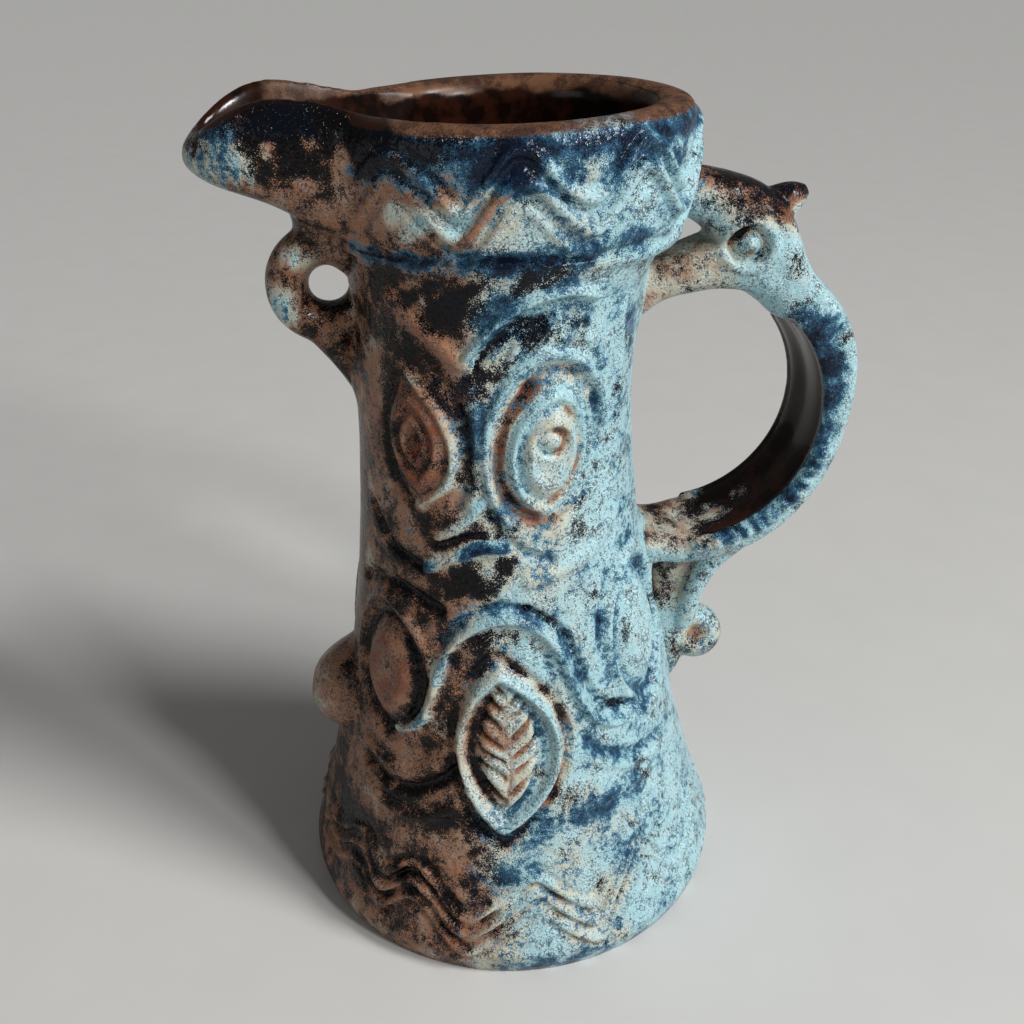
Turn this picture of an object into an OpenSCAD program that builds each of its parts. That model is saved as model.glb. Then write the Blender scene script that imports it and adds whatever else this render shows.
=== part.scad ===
// Pouring jug with a drooping spout, a pierced ring lug and a handle shaped as a beast that bites the rim.
// Each module is one clay piece; the pieces are luted face to face and fired as one.
// Millimetres, +Z up, origin at the middle of the foot's underside, handle toward +X, spout toward -X.

/* [Body] */
// Height of the rim above the table
jug_h = 240; // [232:1:250]
// Widest radius of the foot
foot_r = 65.5; // [60:0.5:72]
// Height of the rolled edge of the foot
foot_roll = 8; // [6:0.5:10]
// Radius of the waist
waist_r = 38.4; // [37:0.2:40]
// How far the waist lies below the collar
waist_drop = 40; // [35:1:47]
// Power of the sweep from the foot to the waist
flare = 1.8; // [1.6:0.05:2]
// Growth of the neck's radius under the collar
neck_flare = 4.2; // [3.6:0.2:5]
// Thickness of the walls
wall_t = 6; // [5:0.5:7]
// Thickness of the floor
floor_t = 8; // [6:0.5:11]

/* [Collar and spout] */
// Height of the collar
collar_h = 35; // [32:1:38]
// Outer radius of the collar
collar_r = 47; // [46:0.5:49]
// How far the collar sits off the axis, toward the handle
collar_shift = 4; // [2:0.5:5]
// Thickness of the rim
rim_t = 11.5; // [10:0.5:13]
// Distance of the spout's tip from the axis
spout_reach = 77; // [72:0.5:82]
// Width of the spout where its nose starts
spout_w = 36; // [33:0.5:38]
// Thickness of the spout's wall
spout_wall = 5; // [4.5:0.5:6]

/* [Lug and knob] */
// Outer radius of the ring lug
lug_r = 16; // [14.5:0.5:18]
// Diameter of the lug's hole
lug_hole_d = 9.6; // [7:0.2:10]
// Width of the lug
lug_w = 15; // [12:0.5:18]
// Radius of the knob low on the spout side
knob_r = 14; // [12:0.5:16]
// Height of the knob
knob_z = 66; // [60:1:70]

/* [Handle] */
// Radius of the round finger gap
gap_r = 37.5; // [36:0.5:39]
// Thickness of the handle strap
strap_t = 10; // [8.5:0.5:11.5]
// Width of the handle strap
strap_w = 26; // [24.5:0.5:30]
// Clay of the lower jaw between the finger gap and the collar's lower edge
jaw_t = 16.5; // [15:0.5:18]
// Width of the beast's head
head_w = 24; // [20:0.5:24]
// Height of the head above the collar's lower edge
head_top = 14.5; // [12:0.5:17]
// Width of the tail
tail_w = 17; // [14:0.5:20]
// Length of the tail strap below the handle
tail_l = 26; // [24:0.5:28]
// Radius of the tail's scroll
scroll_r = 9.2; // [8:0.2:10]
// Radius of the ring round the beast's eye
eye_r = 4.6; // [4:0.2:5]

/* [Ornament] */
// Height of the sprigs and coils over the wall
sprig_h = 2.2; // [1.6:0.1:3]
// Width of the coils
coil_w = 3; // [2.4:0.1:3.6]
// Depth of the folds drawn into the wall
fold_d = 1.6; // [1.2:0.1:2]
// Width of the larger eye-shaped medallion, on the handle side
eye_w = 36; // [33:0.5:37]
// Height of the larger eye-shaped medallion
medallion_h = 48; // [44:0.5:49]
// Size of the smaller medallion, on the spout side, as a share of the larger
small_eye = 0.8; // [0.7:0.05:0.85]
// Width of an oval
oval_w = 22; // [20:0.5:24]
// Height of an oval
oval_h = 33; // [30:0.5:35]
// Width of the leaf's frame
leaf_w = 28; // [26:0.5:31]
// Height of the leaf's frame
leaf_h = 48; // [44:0.5:49]

/* [Hidden] */
$fn = 96;
eps = 0.01;
// The collar rests on the neck at this height, and all of the upper fittings are placed from it.
collar_z = jug_h - collar_h;
waist_z = collar_z - waist_drop;
// Heights at which the wall's curve is drawn; the joint of foot and body is one of them.
wall_steps = 24;
foot_joint = 5;
wall_zs = concat([0, 0.35*foot_roll, foot_roll],
    [for (i = [1:wall_steps]) foot_roll + (collar_z - foot_roll)*i/wall_steps]);
foot_top = wall_zs[2 + foot_joint];
floor_r = wall_r(floor_t) - wall_t;
// The collar's outline, from its lower edge to the start of the rounded rim.
rim_round = 7;
collar_pts = [[collar_r - 3.5, collar_z], [collar_r - 0.8, collar_z + 8],
    [collar_r, collar_z + 0.55*collar_h], [collar_r - 0.6, jug_h - rim_round]];
rim_out = collar_r - 0.6;
rim_mid = rim_out - rim_t/2;
mouth_r = rim_out - rim_t;
// Spout: a rounded trough that rises outward, and a channel that rises less. Its nose is half an ellipse.
spout_tilt = 29;
channel_tilt = 17.5;
spout_foot_z = collar_z + 3;
nose_x = 0.65*spout_reach;
// Lug, just under the collar on the spout side.
lug_x = -(waist_r + 7.3);
lug_z = collar_z + 5 - lug_r;
// Centre of the round finger gap, and the angle at which the strap meets the head.
hx = waist_r + 15.1;
hz = collar_z - jaw_t - gap_r;
head_a = 46;
strap_out = gap_r + strap_t;
edge_r = 0.3*strap_t;
// Length of the head from the gap's centre line to its back, where the strap ends.
head_l = strap_out*cos(head_a);
// Corner of the beast's mouth, and a point inside the gap that splits head and jaw.
mouth = [hx + 0.26*head_l, collar_z - 0.14*head_top];
split_a = 75;
split = [hx + (gap_r - 2)*cos(split_a), hz + (gap_r - 2)*sin(split_a)];
eye_x = hx + 0.43*head_l;
eye_z = collar_z;
eye_coil = 0.35*eye_r;
// Tail, from the strap's underside to the scroll.
strap_low = hz - strap_out;
scroll_x = hx + 6;
scroll_z = strap_low - tail_l - 0.36*scroll_r;
tail_gap_r = 5.5;
tail_gap = [hx - 6, strap_low - 3];
// Where the ornament sits, as degrees round the axis from the handle, for the side at -Y.
eye_spout_a = -129;
eye_handle_a = -74;
oval_spout_a = -142.5;
oval_handle_a = -38;
leaf_a = -97.5;
arch_r = 19.5;
// The arch's legs drop straight and then sweep outward under the ovals.
leg_drop = 6;
leg_r = 12;
// Width of one hump of the waves, a little over its share of the circumference.
collar_a = 20.7;
collar_step = collar_r*PI*collar_a/180;
foot_step = wall_r(0.44*foot_top)*PI*17/180;
// The ornament's rows are spread over the body between foot and collar, and stretch with it.
field_h = collar_z - foot_top;
stretch = field_h/156;
leaf_z = foot_top + leaf_h/2*stretch;
oval_z = foot_top + 42*stretch;
eye_row_z = foot_top + 110*stretch;

// Outer radius of the wall at a height.
function wall_r(z) =
    z <= foot_roll ? foot_r - 2.2*pow(1 - z/foot_roll, 2) :
    z <= waist_z ? waist_r + (foot_r - waist_r)*pow(1 - (z - foot_roll)/(waist_z - foot_roll), flare) :
    waist_r + neck_flare*pow((z - waist_z)/(collar_z - waist_z), 4);

// The filled outside of the jug below the collar, grown by d.
module wall_solid(d = 0)
    rotate_extrude() polygon(concat([[0, 0]], [for (z = wall_zs) [wall_r(z) + d, z]], [[0, collar_z]]));

// A tube of wall between two of the wall's heights.
module wall_tube(i0, i1) {
    zs = [for (i = [i0:i1]) wall_zs[i]];
    n = len(zs) - 1;
    rotate_extrude() polygon(concat([for (z = zs) [wall_r(z), z]],
        [for (i = [n:-1:0]) [wall_r(zs[i]) - wall_t, zs[i]]]));
}

// The filled outside of the collar, grown by d.
module collar_solid(d = 0)
    translate([collar_shift, 0, 0]) rotate_extrude()
        polygon(concat([[0, collar_z]], [for (p = collar_pts) [p[0] + d, p[1]]], rim_pts(d), [[0, jug_h - rim_round]]));

// The rounded top of the rim, from outside to inside.
function rim_pts(d = 0) = [for (a = [15:15:165]) [rim_mid + (rim_t/2 + d)*cos(a), jug_h - rim_round + rim_round*sin(a)]];

// A side view, drawn in X and Z, given a width across Y.
module side(w) rotate([90, 0, 0]) linear_extrude(w, center = true) children();

// A round bar across Y.
module cross_bar(x, z, r, w) translate([x, 0, z]) rotate([90, 0, 0]) cylinder(r = r, h = w, center = true);

// The U section of the spout, lying along a line that rises outward by the tilt.
module trough(r, tilt, x, z)
    translate([x, 0, z]) rotate([0, -90 + tilt, 0]) translate([r, 0, -30]) linear_extrude(120) {
        circle(r);
        translate([0, -r]) square([60, 2*r]);
    }

// Plan of the spout, narrowed by an inset: an elliptic nose, and a flare back into the collar.
module spout_plan(inset) {
    half = spout_w/2 - inset;
    nose_l = spout_reach - nose_x - inset;
    flare_pts = [[-0.55*spout_reach, half + 2], [-0.47*spout_reach, half + 5], [-0.16*spout_reach, half + 15.5]];
    polygon(concat([for (i = [2:-1:0]) flare_pts[i]],
        [for (a = [90:12:270]) [-nose_x + nose_l*cos(a), half*sin(a)]],
        [for (p = flare_pts) [p[0], -p[1]]]));
}

module spout_channel() intersection() {
    trough(spout_w/2 + 3, channel_tilt, -(waist_r + 4), collar_z + 15);
    translate([0, 0, collar_z]) linear_extrude(2*collar_h) spout_plan(spout_wall);
}

// Outside of the spout before it is cut by the collar.
module spout_block()
    intersection() {
        trough(spout_w/2 + 6, spout_tilt, -(waist_r + 5.6), spout_foot_z);
        side(3*spout_w) polygon([[4 - waist_r, collar_z + 1], [4 - waist_r, jug_h - 1.5], [-waist_r, jug_h + 0.8],
            [-0.64*spout_reach, jug_h + 2.6], [-0.77*spout_reach, jug_h + 2.2],
            [-0.87*spout_reach, jug_h - 1], [-0.95*spout_reach, jug_h - 6.5], [-spout_reach, jug_h - 11.5],
            [-spout_reach + 1, jug_h - 20], [-0.7*spout_reach, collar_z + 1]]);
        translate([0, 0, collar_z]) linear_extrude(2*collar_h) spout_plan(0);
    }

// Section of the handle strap with rounded edges, x outward from the gap's rim.
module strap_section()
    union() {
        translate([edge_r, -strap_w/2]) square([strap_t - 2*edge_r, strap_w]);
        translate([0, -strap_w/2 + edge_r]) square([strap_t, strap_w - 2*edge_r]);
        for (x = [edge_r, strap_t - edge_r], y = [-1, 1]) translate([x, y*(strap_w/2 - edge_r)]) circle(edge_r);
    }

// Radial prism: a flat outline in (across, up) pushed outward at an angle and a height.
module radial(a, z) rotate([0, 0, a]) translate([0, 0, z]) rotate([90, 0, 90]) linear_extrude(foot_r + 20) children();

// A piece of clay that lies on the wall.
module on_wall(a, z, h = sprig_h) intersection() {
    radial(a, z) scale([1, stretch]) children();
    difference() {
        wall_solid(h);
        wall_solid();
    }
}

// A fold drawn into the wall, with its twin on the far side.
module fold(a, z) for (side_y = [0, 1]) mirror([0, side_y, 0]) difference() {
    radial(a, z) scale([1, stretch]) children();
    wall_solid(-fold_d);
}

// Pointed oval, w across and h high.
module almond(w, h) {
    r = (w*w + h*h)/(4*w);
    intersection() {
        translate([r - w/2, 0]) circle(r);
        translate([w/2 - r, 0]) circle(r);
    }
}

// The band between a pointed oval and a smaller one.
module almond_band(w, h) difference() {
    almond(w, h);
    almond(w - 2*coil_w, h - 3*coil_w);
}

// A round band about a middle radius.
module ring(r) difference() {
    circle(r + coil_w/2);
    circle(r - coil_w/2);
}

// Blunt oval, w across and h high.
module oval(w, h) scale([w/h, 1]) circle(h/2);

// A humped coil, w across and h high, bulging up or down.
module hump(w, h, up) {
    r = (w*w/4 + h*h)/(2*h);
    mirror([0, up ? 0 : 1]) intersection() {
        translate([0, h - r]) ring(r);
        translate([-w, -0.5]) square([2*w, w]);
    }
}

// A straight coil with round ends.
module bar(l) {
    translate([-l/2, -coil_w/2]) square([l, coil_w]);
    translate([-l/2, 0]) circle(coil_w/2);
    translate([l/2, 0]) circle(coil_w/2);
}

// The same piece on the far side.
module far() mirror([0, 1, 0]) children();

module base_disc() color("peru") cylinder(r = floor_r, h = floor_t);

module foot_wall() color("slategray") difference() {
    intersection() {
        wall_solid();
        cylinder(r = 2*foot_r, h = foot_top);
    }
    translate([0, 0, -1]) cylinder(r = floor_r, h = floor_t + 1);
    rotate_extrude() polygon(concat([[0, floor_t]], [[floor_r, floor_t]],
        [for (i = [3:2 + foot_joint]) if (wall_zs[i] > floor_t + 1) [wall_r(wall_zs[i]) - wall_t, wall_zs[i]]],
        [[0, foot_top]]));
}

module body_wall() color("lightsteelblue") difference() {
    wall_tube(2 + foot_joint, 2 + wall_steps);
    fold(-142.5, foot_top + 81*stretch) rotate(-33) bar(20);
    fold(-89, foot_top + 83*stretch) rotate(-33) bar(19);
    fold(-141.5, foot_top + 62*stretch) hump(28, 4, true);
    fold(-133, foot_top + 11*stretch) hump(30, 5, false);
    fold(-54, foot_top + 15*stretch) rotate(-22) bar(24);
    fold(leaf_a, oval_z + stretch) intersection() {
        ring(arch_r + coil_w/2 + 1.7);
        square(2*arch_r);
    }
}

module collar() color("steelblue") difference() {
    translate([collar_shift, 0, 0]) rotate_extrude()
        polygon(concat([[mouth_r, collar_z]], collar_pts, rim_pts(), [[mouth_r, jug_h - rim_round]]));
    spout_channel();
}

module spout() color("royalblue") difference() {
    spout_block();
    collar_solid();
    translate([collar_shift, 0, 0]) cylinder(r = mouth_r, h = 2*jug_h);
    wall_solid();
    spout_channel();
}

module ring_lug() color("rosybrown") difference() {
    union() {
        translate([lug_x, 0, lug_z]) rotate([90, 0, 0]) rotate_extrude()
            polygon([[0, -lug_w/2], [lug_r - 4, -lug_w/2], [lug_r, -lug_w/2 + 4],
                [lug_r, lug_w/2 - 4], [lug_r - 4, lug_w/2], [0, lug_w/2]]);
        side(lug_w - 3) polygon([[lug_x - 7, lug_z + 8], [lug_x - 5, collar_z + 14],
            [lug_x + 10, collar_z + 14], [lug_x + 10, lug_z + 8]]);
    }
    cross_bar(lug_x, lug_z, lug_hole_d/2, 2*lug_w);
    wall_solid();
    collar_solid();
    spout_block();
}

module knob() color("rosybrown") difference() {
    translate([-(wall_r(knob_z) - 0.32*knob_r), 0, knob_z]) sphere(knob_r);
    wall_solid();
}

module strap_solid() {
    translate([hx, 0, hz]) rotate([90, 0, 0]) rotate([0, 0, -90]) rotate_extrude(angle = 90 + head_a)
        translate([gap_r, 0]) strap_section();
    translate([hx, 0, hz - gap_r]) rotate([0, -90, 0]) linear_extrude(hx) rotate([0, 0, 180]) strap_section();
}

module handle_strap() color("cornflowerblue") difference() {
    strap_solid();
    wall_solid();
}

module head_solid() side(head_w) polygon([[hx - 10, collar_z + head_top], [hx, collar_z + 0.94*head_top],
    [hx + 0.39*head_l, collar_z + 0.73*head_top], [hx + 0.61*head_l, collar_z + 0.52*head_top],
    [hx + 0.83*head_l, collar_z + 0.24*head_top], [hx + 0.94*head_l, collar_z - 0.28*head_top],
    [hx + head_l, collar_z - 0.83*head_top], [hx + head_l, hz + strap_out*sin(head_a)],
    [hx + gap_r*cos(head_a), hz + gap_r*sin(head_a)], split, mouth, [hx - 10, collar_z + 0.34*head_top]]);

module beast_head() color("lightblue") difference() {
    head_solid();
    cross_bar(hx, hz, gap_r, 2*strap_w);
    collar_solid();
}

module lower_jaw() color("lightcyan") difference() {
    side(head_w - 4) polygon([mouth, split, [hx + (gap_r - 2)*cos(120), hz + (gap_r - 2)*sin(120)],
        [hx - 30, collar_z - 12.5]]);
    cross_bar(hx, hz, gap_r, 2*strap_w);
    wall_solid();
}

module horn() color("sienna") difference() {
    translate([hx + 0.74*head_l, 0, collar_z + 0.17*head_top]) rotate([0, 50, 0]) {
        cylinder(h = 8, r1 = 5.5, r2 = 2.5);
        translate([0, 0, 8]) sphere(2.5);
    }
    head_solid();
}

module eye_ring_front() color("white") intersection() {
    translate([eye_x, -head_w/2, eye_z]) rotate([90, 0, 0]) rotate_extrude() translate([eye_r, 0]) circle(eye_coil, $fn = 32);
    translate([eye_x - 20, -head_w/2 - 20, eye_z - 20]) cube([40, 20, 40]);
}

module eye_ring_back() far() eye_ring_front();

module eye_pellet_front() color("sienna") intersection() {
    translate([eye_x, -head_w/2, eye_z]) sphere(0.5*eye_r);
    translate([eye_x - 20, -head_w/2 - 20, eye_z - 20]) cube([40, 20, 40]);
}

module eye_pellet_back() far() eye_pellet_front();

module tail_strap() color("lightblue") difference() {
    side(tail_w) polygon([[hx - 22, strap_low + 4], [hx + 14, strap_low + 4], [hx + 11.5, strap_low - 0.19*tail_l],
        [hx + 7.5, strap_low - 0.46*tail_l], [hx + 4.5, strap_low - 0.73*tail_l], [hx + 2.5, strap_low - tail_l],
        [hx - 22, strap_low - tail_l]]);
    cross_bar(tail_gap[0], tail_gap[1], tail_gap_r, 2*strap_w);
    translate([0, -strap_w, tail_gap[1] - tail_gap_r]) cube([tail_gap[0], 2*strap_w, 2*tail_gap_r]);
    cross_bar(hx, hz, strap_out, 2*strap_w);
    translate([0, -strap_w, strap_low]) cube([hx, 2*strap_w, strap_out]);
    cross_bar(scroll_x, scroll_z, scroll_r, 2*tail_w);
    wall_solid();
}

module tail_scroll() color("rosybrown") difference() {
    union() {
        cross_bar(scroll_x, scroll_z, scroll_r, tail_w);
        side(tail_w) polygon([[scroll_x - 20, scroll_z + 3], [scroll_x - 3, scroll_z + 3], [scroll_x + 3, scroll_z - scroll_r + 0.6],
            [scroll_x - 20, scroll_z - scroll_r - 6]]);
    }
    wall_solid();
}

module eye_medallion_front_spout() color("gainsboro") on_wall(eye_spout_a, eye_row_z)
    almond_band(small_eye*eye_w, small_eye*medallion_h);
module eye_medallion_front_handle() color("gainsboro") on_wall(eye_handle_a, eye_row_z) almond_band(eye_w, medallion_h);
module eye_medallion_back_spout() far() eye_medallion_front_spout();
module eye_medallion_back_handle() far() eye_medallion_front_handle();

module eye_boss_front_spout() color("tan") on_wall(eye_spout_a, eye_row_z)
    almond(0.55*small_eye*eye_w, 0.6*small_eye*medallion_h);
module eye_boss_front_handle() color("tan") on_wall(eye_handle_a, eye_row_z) almond(0.5*eye_w, 0.62*medallion_h);
module eye_boss_back_spout() far() eye_boss_front_spout();
module eye_boss_back_handle() far() eye_boss_front_handle();

// An oval is a low frame filled by a higher boss.
module oval_frame(a) on_wall(a, oval_z, 0.55*sprig_h) difference() {
    oval(oval_w, oval_h);
    oval(oval_w - 1.6*coil_w, oval_h - 1.6*coil_w);
}

module oval_boss(a) on_wall(a, oval_z) oval(oval_w - 1.6*coil_w, oval_h - 1.6*coil_w);

module oval_frame_front_spout() color("gainsboro") oval_frame(oval_spout_a);
module oval_frame_front_handle() color("gainsboro") oval_frame(oval_handle_a);
module oval_frame_back_spout() far() oval_frame_front_spout();
module oval_frame_back_handle() far() oval_frame_front_handle();

module oval_boss_front_spout() color("tan") oval_boss(oval_spout_a);
module oval_boss_front_handle() color("tan") oval_boss(oval_handle_a);
module oval_boss_back_spout() far() oval_boss_front_spout();
module oval_boss_back_handle() far() oval_boss_front_handle();

module leaf_frame_front() color("gainsboro") on_wall(leaf_a, leaf_z) almond_band(leaf_w, leaf_h);
module leaf_frame_back() far() leaf_frame_front();

module leaf_front() color("tan") on_wall(leaf_a, leaf_z) almond(0.5*leaf_w, 0.72*leaf_h);
module leaf_back() far() leaf_front();

module arch_coil_front() color("royalblue") on_wall(leaf_a, oval_z + stretch) {
    intersection() {
        ring(arch_r - coil_w/2);
        translate([-2*arch_r, 0]) square([4*arch_r, 2*arch_r]);
    }
    for (end = [0, 1]) mirror([end, 0]) {
        translate([arch_r - coil_w, -leg_drop]) square([coil_w, leg_drop]);
        translate([arch_r - coil_w/2 + leg_r, -leg_drop]) intersection() {
            ring(leg_r);
            translate([-2*leg_r, -2*leg_r]) square(2*leg_r);
        }
    }
}
module arch_coil_back() far() arch_coil_front();

module brow_front_spout() color("royalblue") on_wall(-125, collar_z - 14*stretch) rotate(-28) bar(20);
module brow_front_handle() color("royalblue") on_wall(-90, collar_z - 13*stretch) rotate(24) bar(20);
module brow_back_spout() far() brow_front_spout();
module brow_back_handle() far() brow_front_handle();

module mouth_coil_front() color("royalblue") on_wall(-112, foot_top + 79*stretch) rotate(14) bar(14);
module mouth_coil_back() far() mouth_coil_front();

module collar_wave_front() color("gainsboro") intersection() {
    union() for (i = [0:5]) translate([collar_shift, 0, 0]) radial(-134 + collar_a*i, collar_z + 0.44*collar_h)
        hump(collar_step, 6, i % 2 == 0);
    difference() {
        collar_solid(sprig_h);
        collar_solid();
    }
}
module collar_wave_back() far() collar_wave_front();

module foot_wave_front() color("gainsboro") intersection() {
    union() for (i = [0:5]) radial(-148 + 17*i, 0.44*foot_top) hump(foot_step, 5, i % 2 == 1);
    difference() {
        wall_solid(sprig_h);
        wall_solid();
    }
}
module foot_wave_back() far() foot_wave_front();

base_disc();
foot_wall();
body_wall();
collar();
spout();
ring_lug();
knob();
handle_strap();
beast_head();
lower_jaw();
horn();
eye_ring_front();
eye_ring_back();
eye_pellet_front();
eye_pellet_back();
tail_strap();
tail_scroll();
eye_medallion_front_spout();
eye_medallion_front_handle();
eye_medallion_back_spout();
eye_medallion_back_handle();
eye_boss_front_spout();
eye_boss_front_handle();
eye_boss_back_spout();
eye_boss_back_handle();
oval_frame_front_spout();
oval_frame_front_handle();
oval_frame_back_spout();
oval_frame_back_handle();
oval_boss_front_spout();
oval_boss_front_handle();
oval_boss_back_spout();
oval_boss_back_handle();
leaf_frame_front();
leaf_frame_back();
leaf_front();
leaf_back();
arch_coil_front();
arch_coil_back();
brow_front_spout();
brow_front_handle();
brow_back_spout();
brow_back_handle();
mouth_coil_front();
mouth_coil_back();
collar_wave_front();
collar_wave_back();
foot_wave_front();
foot_wave_back();
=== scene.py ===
import math

import bmesh
import bpy
import numpy as np
from mathutils import Matrix, Vector


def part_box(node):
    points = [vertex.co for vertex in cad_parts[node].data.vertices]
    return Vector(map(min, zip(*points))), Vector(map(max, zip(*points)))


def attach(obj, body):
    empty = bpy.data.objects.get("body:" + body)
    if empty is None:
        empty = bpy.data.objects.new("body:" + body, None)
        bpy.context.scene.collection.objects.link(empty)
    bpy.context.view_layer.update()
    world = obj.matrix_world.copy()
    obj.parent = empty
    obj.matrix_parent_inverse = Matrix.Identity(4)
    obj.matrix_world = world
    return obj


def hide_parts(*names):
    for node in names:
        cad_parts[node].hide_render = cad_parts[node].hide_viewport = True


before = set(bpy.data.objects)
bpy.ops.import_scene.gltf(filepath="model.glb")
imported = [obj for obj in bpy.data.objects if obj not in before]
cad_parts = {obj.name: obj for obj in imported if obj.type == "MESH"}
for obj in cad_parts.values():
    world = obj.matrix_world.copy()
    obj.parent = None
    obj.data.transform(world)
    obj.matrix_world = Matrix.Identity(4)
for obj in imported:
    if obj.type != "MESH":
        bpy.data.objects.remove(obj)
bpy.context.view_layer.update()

# Sizes are in millimetres here, and a mesh is brought to metres when its piece is finished
MM = 0.001
FOOT_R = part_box("foot_wall")[1].x / MM
FOOT_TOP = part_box("body_wall")[0].z / MM
COLLAR_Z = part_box("collar")[0].z / MM
RIM_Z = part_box("collar")[1].z / MM
FLOOR_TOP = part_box("base_disc")[1].z / MM
COLLAR_X = (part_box("collar")[0].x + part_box("collar")[1].x) / 2 / MM
COLLAR_R = (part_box("collar")[1].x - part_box("collar")[0].x) / 2 / MM
LUG_R = 16.0
LUG_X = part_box("ring_lug")[0].x / MM + LUG_R
LUG_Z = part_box("ring_lug")[0].z / MM + LUG_R
TIP_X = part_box("spout")[0].x / MM

# The thrown wall
FOOT_ROLL = 8.0
FOOT_ROLL_IN = 2.2
WAIST_R = 38.4
WAIST_Z = COLLAR_Z - 40.0
FLARE = 1.8
NECK_FLARE = 4.2
WALL_T = 6.0
KNOB_R = 15.0
KNOB_Z = 67.0
KNOB_RISE = 11.0

# The wall's lean: height, and the shift of its middle to the handle side
LEAN = ((0, 0), (60, -0.5), (130, -2.0), (165, -2.0), (195, 0.0), (206, 3.0), (240, 4.0))

# Middles of the ornament on the near side: azimuth and height
SPOUT_EYE = (-128.5, 160.5)
HANDLE_EYE = (-76.6, 157.0)
PUPIL = (-76.5, 160.8)
SPOUT_OVAL = (-143.5, 88.3)
HANDLE_OVAL = (-37, 94)
LEAF_FRAME = (-100.0, 71.1)
LEAF = (-98.4, 71.9)

# The collar, its spout and its lug
COLLAR_LOW = 203.0
COLLAR_LAP = 2
RIM_TOP = RIM_Z - 1.2
MOUTH_R = 34.9
OVAL_LONG, OVAL_SHORT = 1.02, 0.957
NEAR_LIP_RISE = 0.75
CHANNEL_Z = 252
PLUG_Z, PLUG_H = 225, 70
LUG_HOLE_R = 5.4
LUG_HOLE_SHIFT = 0.9
LUG_HALF = 7.6

# The beast handle
GAP_X, GAP_Z, GAP_R = 53.5, 151.0, 37.5
STRAP_HALF = 13.0
RIDGE_R = 39.6
BEAD_R = 40.6
BEAD_TURN = 6.4
EYE_X, EYE_Z = 66.0, 199.8
CURL_AT = (60.2, 0, 72.0)
DIMPLE_X, DIMPLE_Z = 59.2, 74.8

# How fine the meshes are
BASE_STEPS = 120
COLLAR_STEPS = 128
WALL_STEPS = 400
WALL_RISE = 0.8
LINE_STEP = 0.8
ROLL_STEP = 1.5
SKIN_VOXEL = 0.7
BEAST_VOXEL = 0.6


# Shapes

def wall_radius(z):
    """Outer radius of the plain thrown wall at a height: rolled foot, flared body, neck under the collar."""
    z = np.asarray(z, float)
    roll = FOOT_R - FOOT_ROLL_IN * np.clip(1 - z / FOOT_ROLL, 0, 1) ** 2
    rise = np.clip((z - FOOT_ROLL) / (WAIST_Z - FOOT_ROLL), 0, 1)
    body = WAIST_R + (FOOT_R - WAIST_R) * (1 - rise) ** FLARE
    neck = WAIST_R + NECK_FLARE * np.clip((z - WAIST_Z) / (COLLAR_Z - WAIST_Z), 0, 1.2) ** 4
    return np.where(z < FOOT_ROLL, roll, np.where(z < WAIST_Z, body, neck))


def lean(z):
    """How far the hand-thrown wall stands to the handle side of its centre line at a height."""
    return np.interp(z, *zip(*LEAN))


def bell(x):
    """A soft bump: 1 in the middle, 0 from 1 outwards."""
    return 0.5 + 0.5 * np.cos(np.pi * np.clip(np.abs(x), 0, 1))


def ease(low, high, x):
    """0 below low, 1 above high, smooth between."""
    t = np.clip((x - low) / (high - low), 0, 1)
    return t * t * (3 - 2 * t)


def smooth_path(points, step):
    """Points every step along a smooth curve through rows of numbers, each with its place first."""
    rows = np.array(points, float)
    ends = np.vstack([2 * rows[0] - rows[1], rows, 2 * rows[-1] - rows[-2]])
    curve = []
    for i in range(len(rows) - 1):
        a, b, c, d = ends[i:i + 4]
        count = max(2, int(np.hypot(*(c - b)[:2]) / step) + 1)
        t = np.linspace(0, 1, count, endpoint=False)[:, None]
        curve.append(b + 0.5 * t * (c - a + t * (2 * a - 5 * b + 4 * c - d + t * (3 * (b - c) + d - a))))
    return np.vstack(curve + [rows[-1:]])


def turned(profile, steps, centre=0.0):
    """A closed outline of radius and height pairs, turned round the upright axis."""
    bm = bmesh.new()
    verts = [bm.verts.new((centre + r, 0, z)) for r, z in profile]
    edges = [bm.edges.new((verts[i - 1], verts[i])) for i in range(len(verts))]
    bmesh.ops.spin(bm, geom=verts + edges, cent=(centre, 0, 0), axis=(0, 0, 1), angle=2 * math.pi,
                   steps=steps, use_merge=True)
    bmesh.ops.remove_doubles(bm, verts=bm.verts, dist=1e-5)
    bmesh.ops.recalc_face_normals(bm, faces=bm.faces)
    return bm


def limb(bm, stations, sides=32, square=2.0, upright=False):
    """A clay roll through stations of X, Z, half width and half depth, lying in the plane Y = 0."""
    path = smooth_path(stations, ROLL_STEP)
    section = bm.verts.layers.float_vector.get("section") or bm.verts.layers.float_vector.new("section")
    ring = bmesh.ops.create_circle(bm, segments=sides, radius=1.0)["verts"]
    for v in ring:
        v[section] = [math.copysign(abs(c) ** (2 / square), c) for c in v.co]
    edges = list({e for v in ring for e in v.link_edges})
    first = edges
    run = np.gradient(path[:, :2], axis=0)
    for i, (x, z, half_width, half_depth) in enumerate(path):
        if i:
            grown = bmesh.ops.extrude_edge_only(bm, edges=edges)["geom"]
            ring = [g for g in grown if isinstance(g, bmesh.types.BMVert)]
            fresh = set(ring)
            edges = [g for g in grown if isinstance(g, bmesh.types.BMEdge) and set(g.verts) <= fresh]
        tilt = 0.0 if upright else math.atan2(run[i][1], run[i][0])
        over = Vector((-math.sin(tilt), 0, math.cos(tilt)))
        for v in ring:
            across, depth, _ = v[section]
            v.co = Vector((x, across * half_width, z)) + over * depth * half_depth
    bmesh.ops.holes_fill(bm, edges=first + edges, sides=sides)


def rolled(name, stations, **how):
    """One clay roll as an object."""
    bm = bmesh.new()
    limb(bm, stations, **how)
    return as_object(bm, name)


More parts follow.
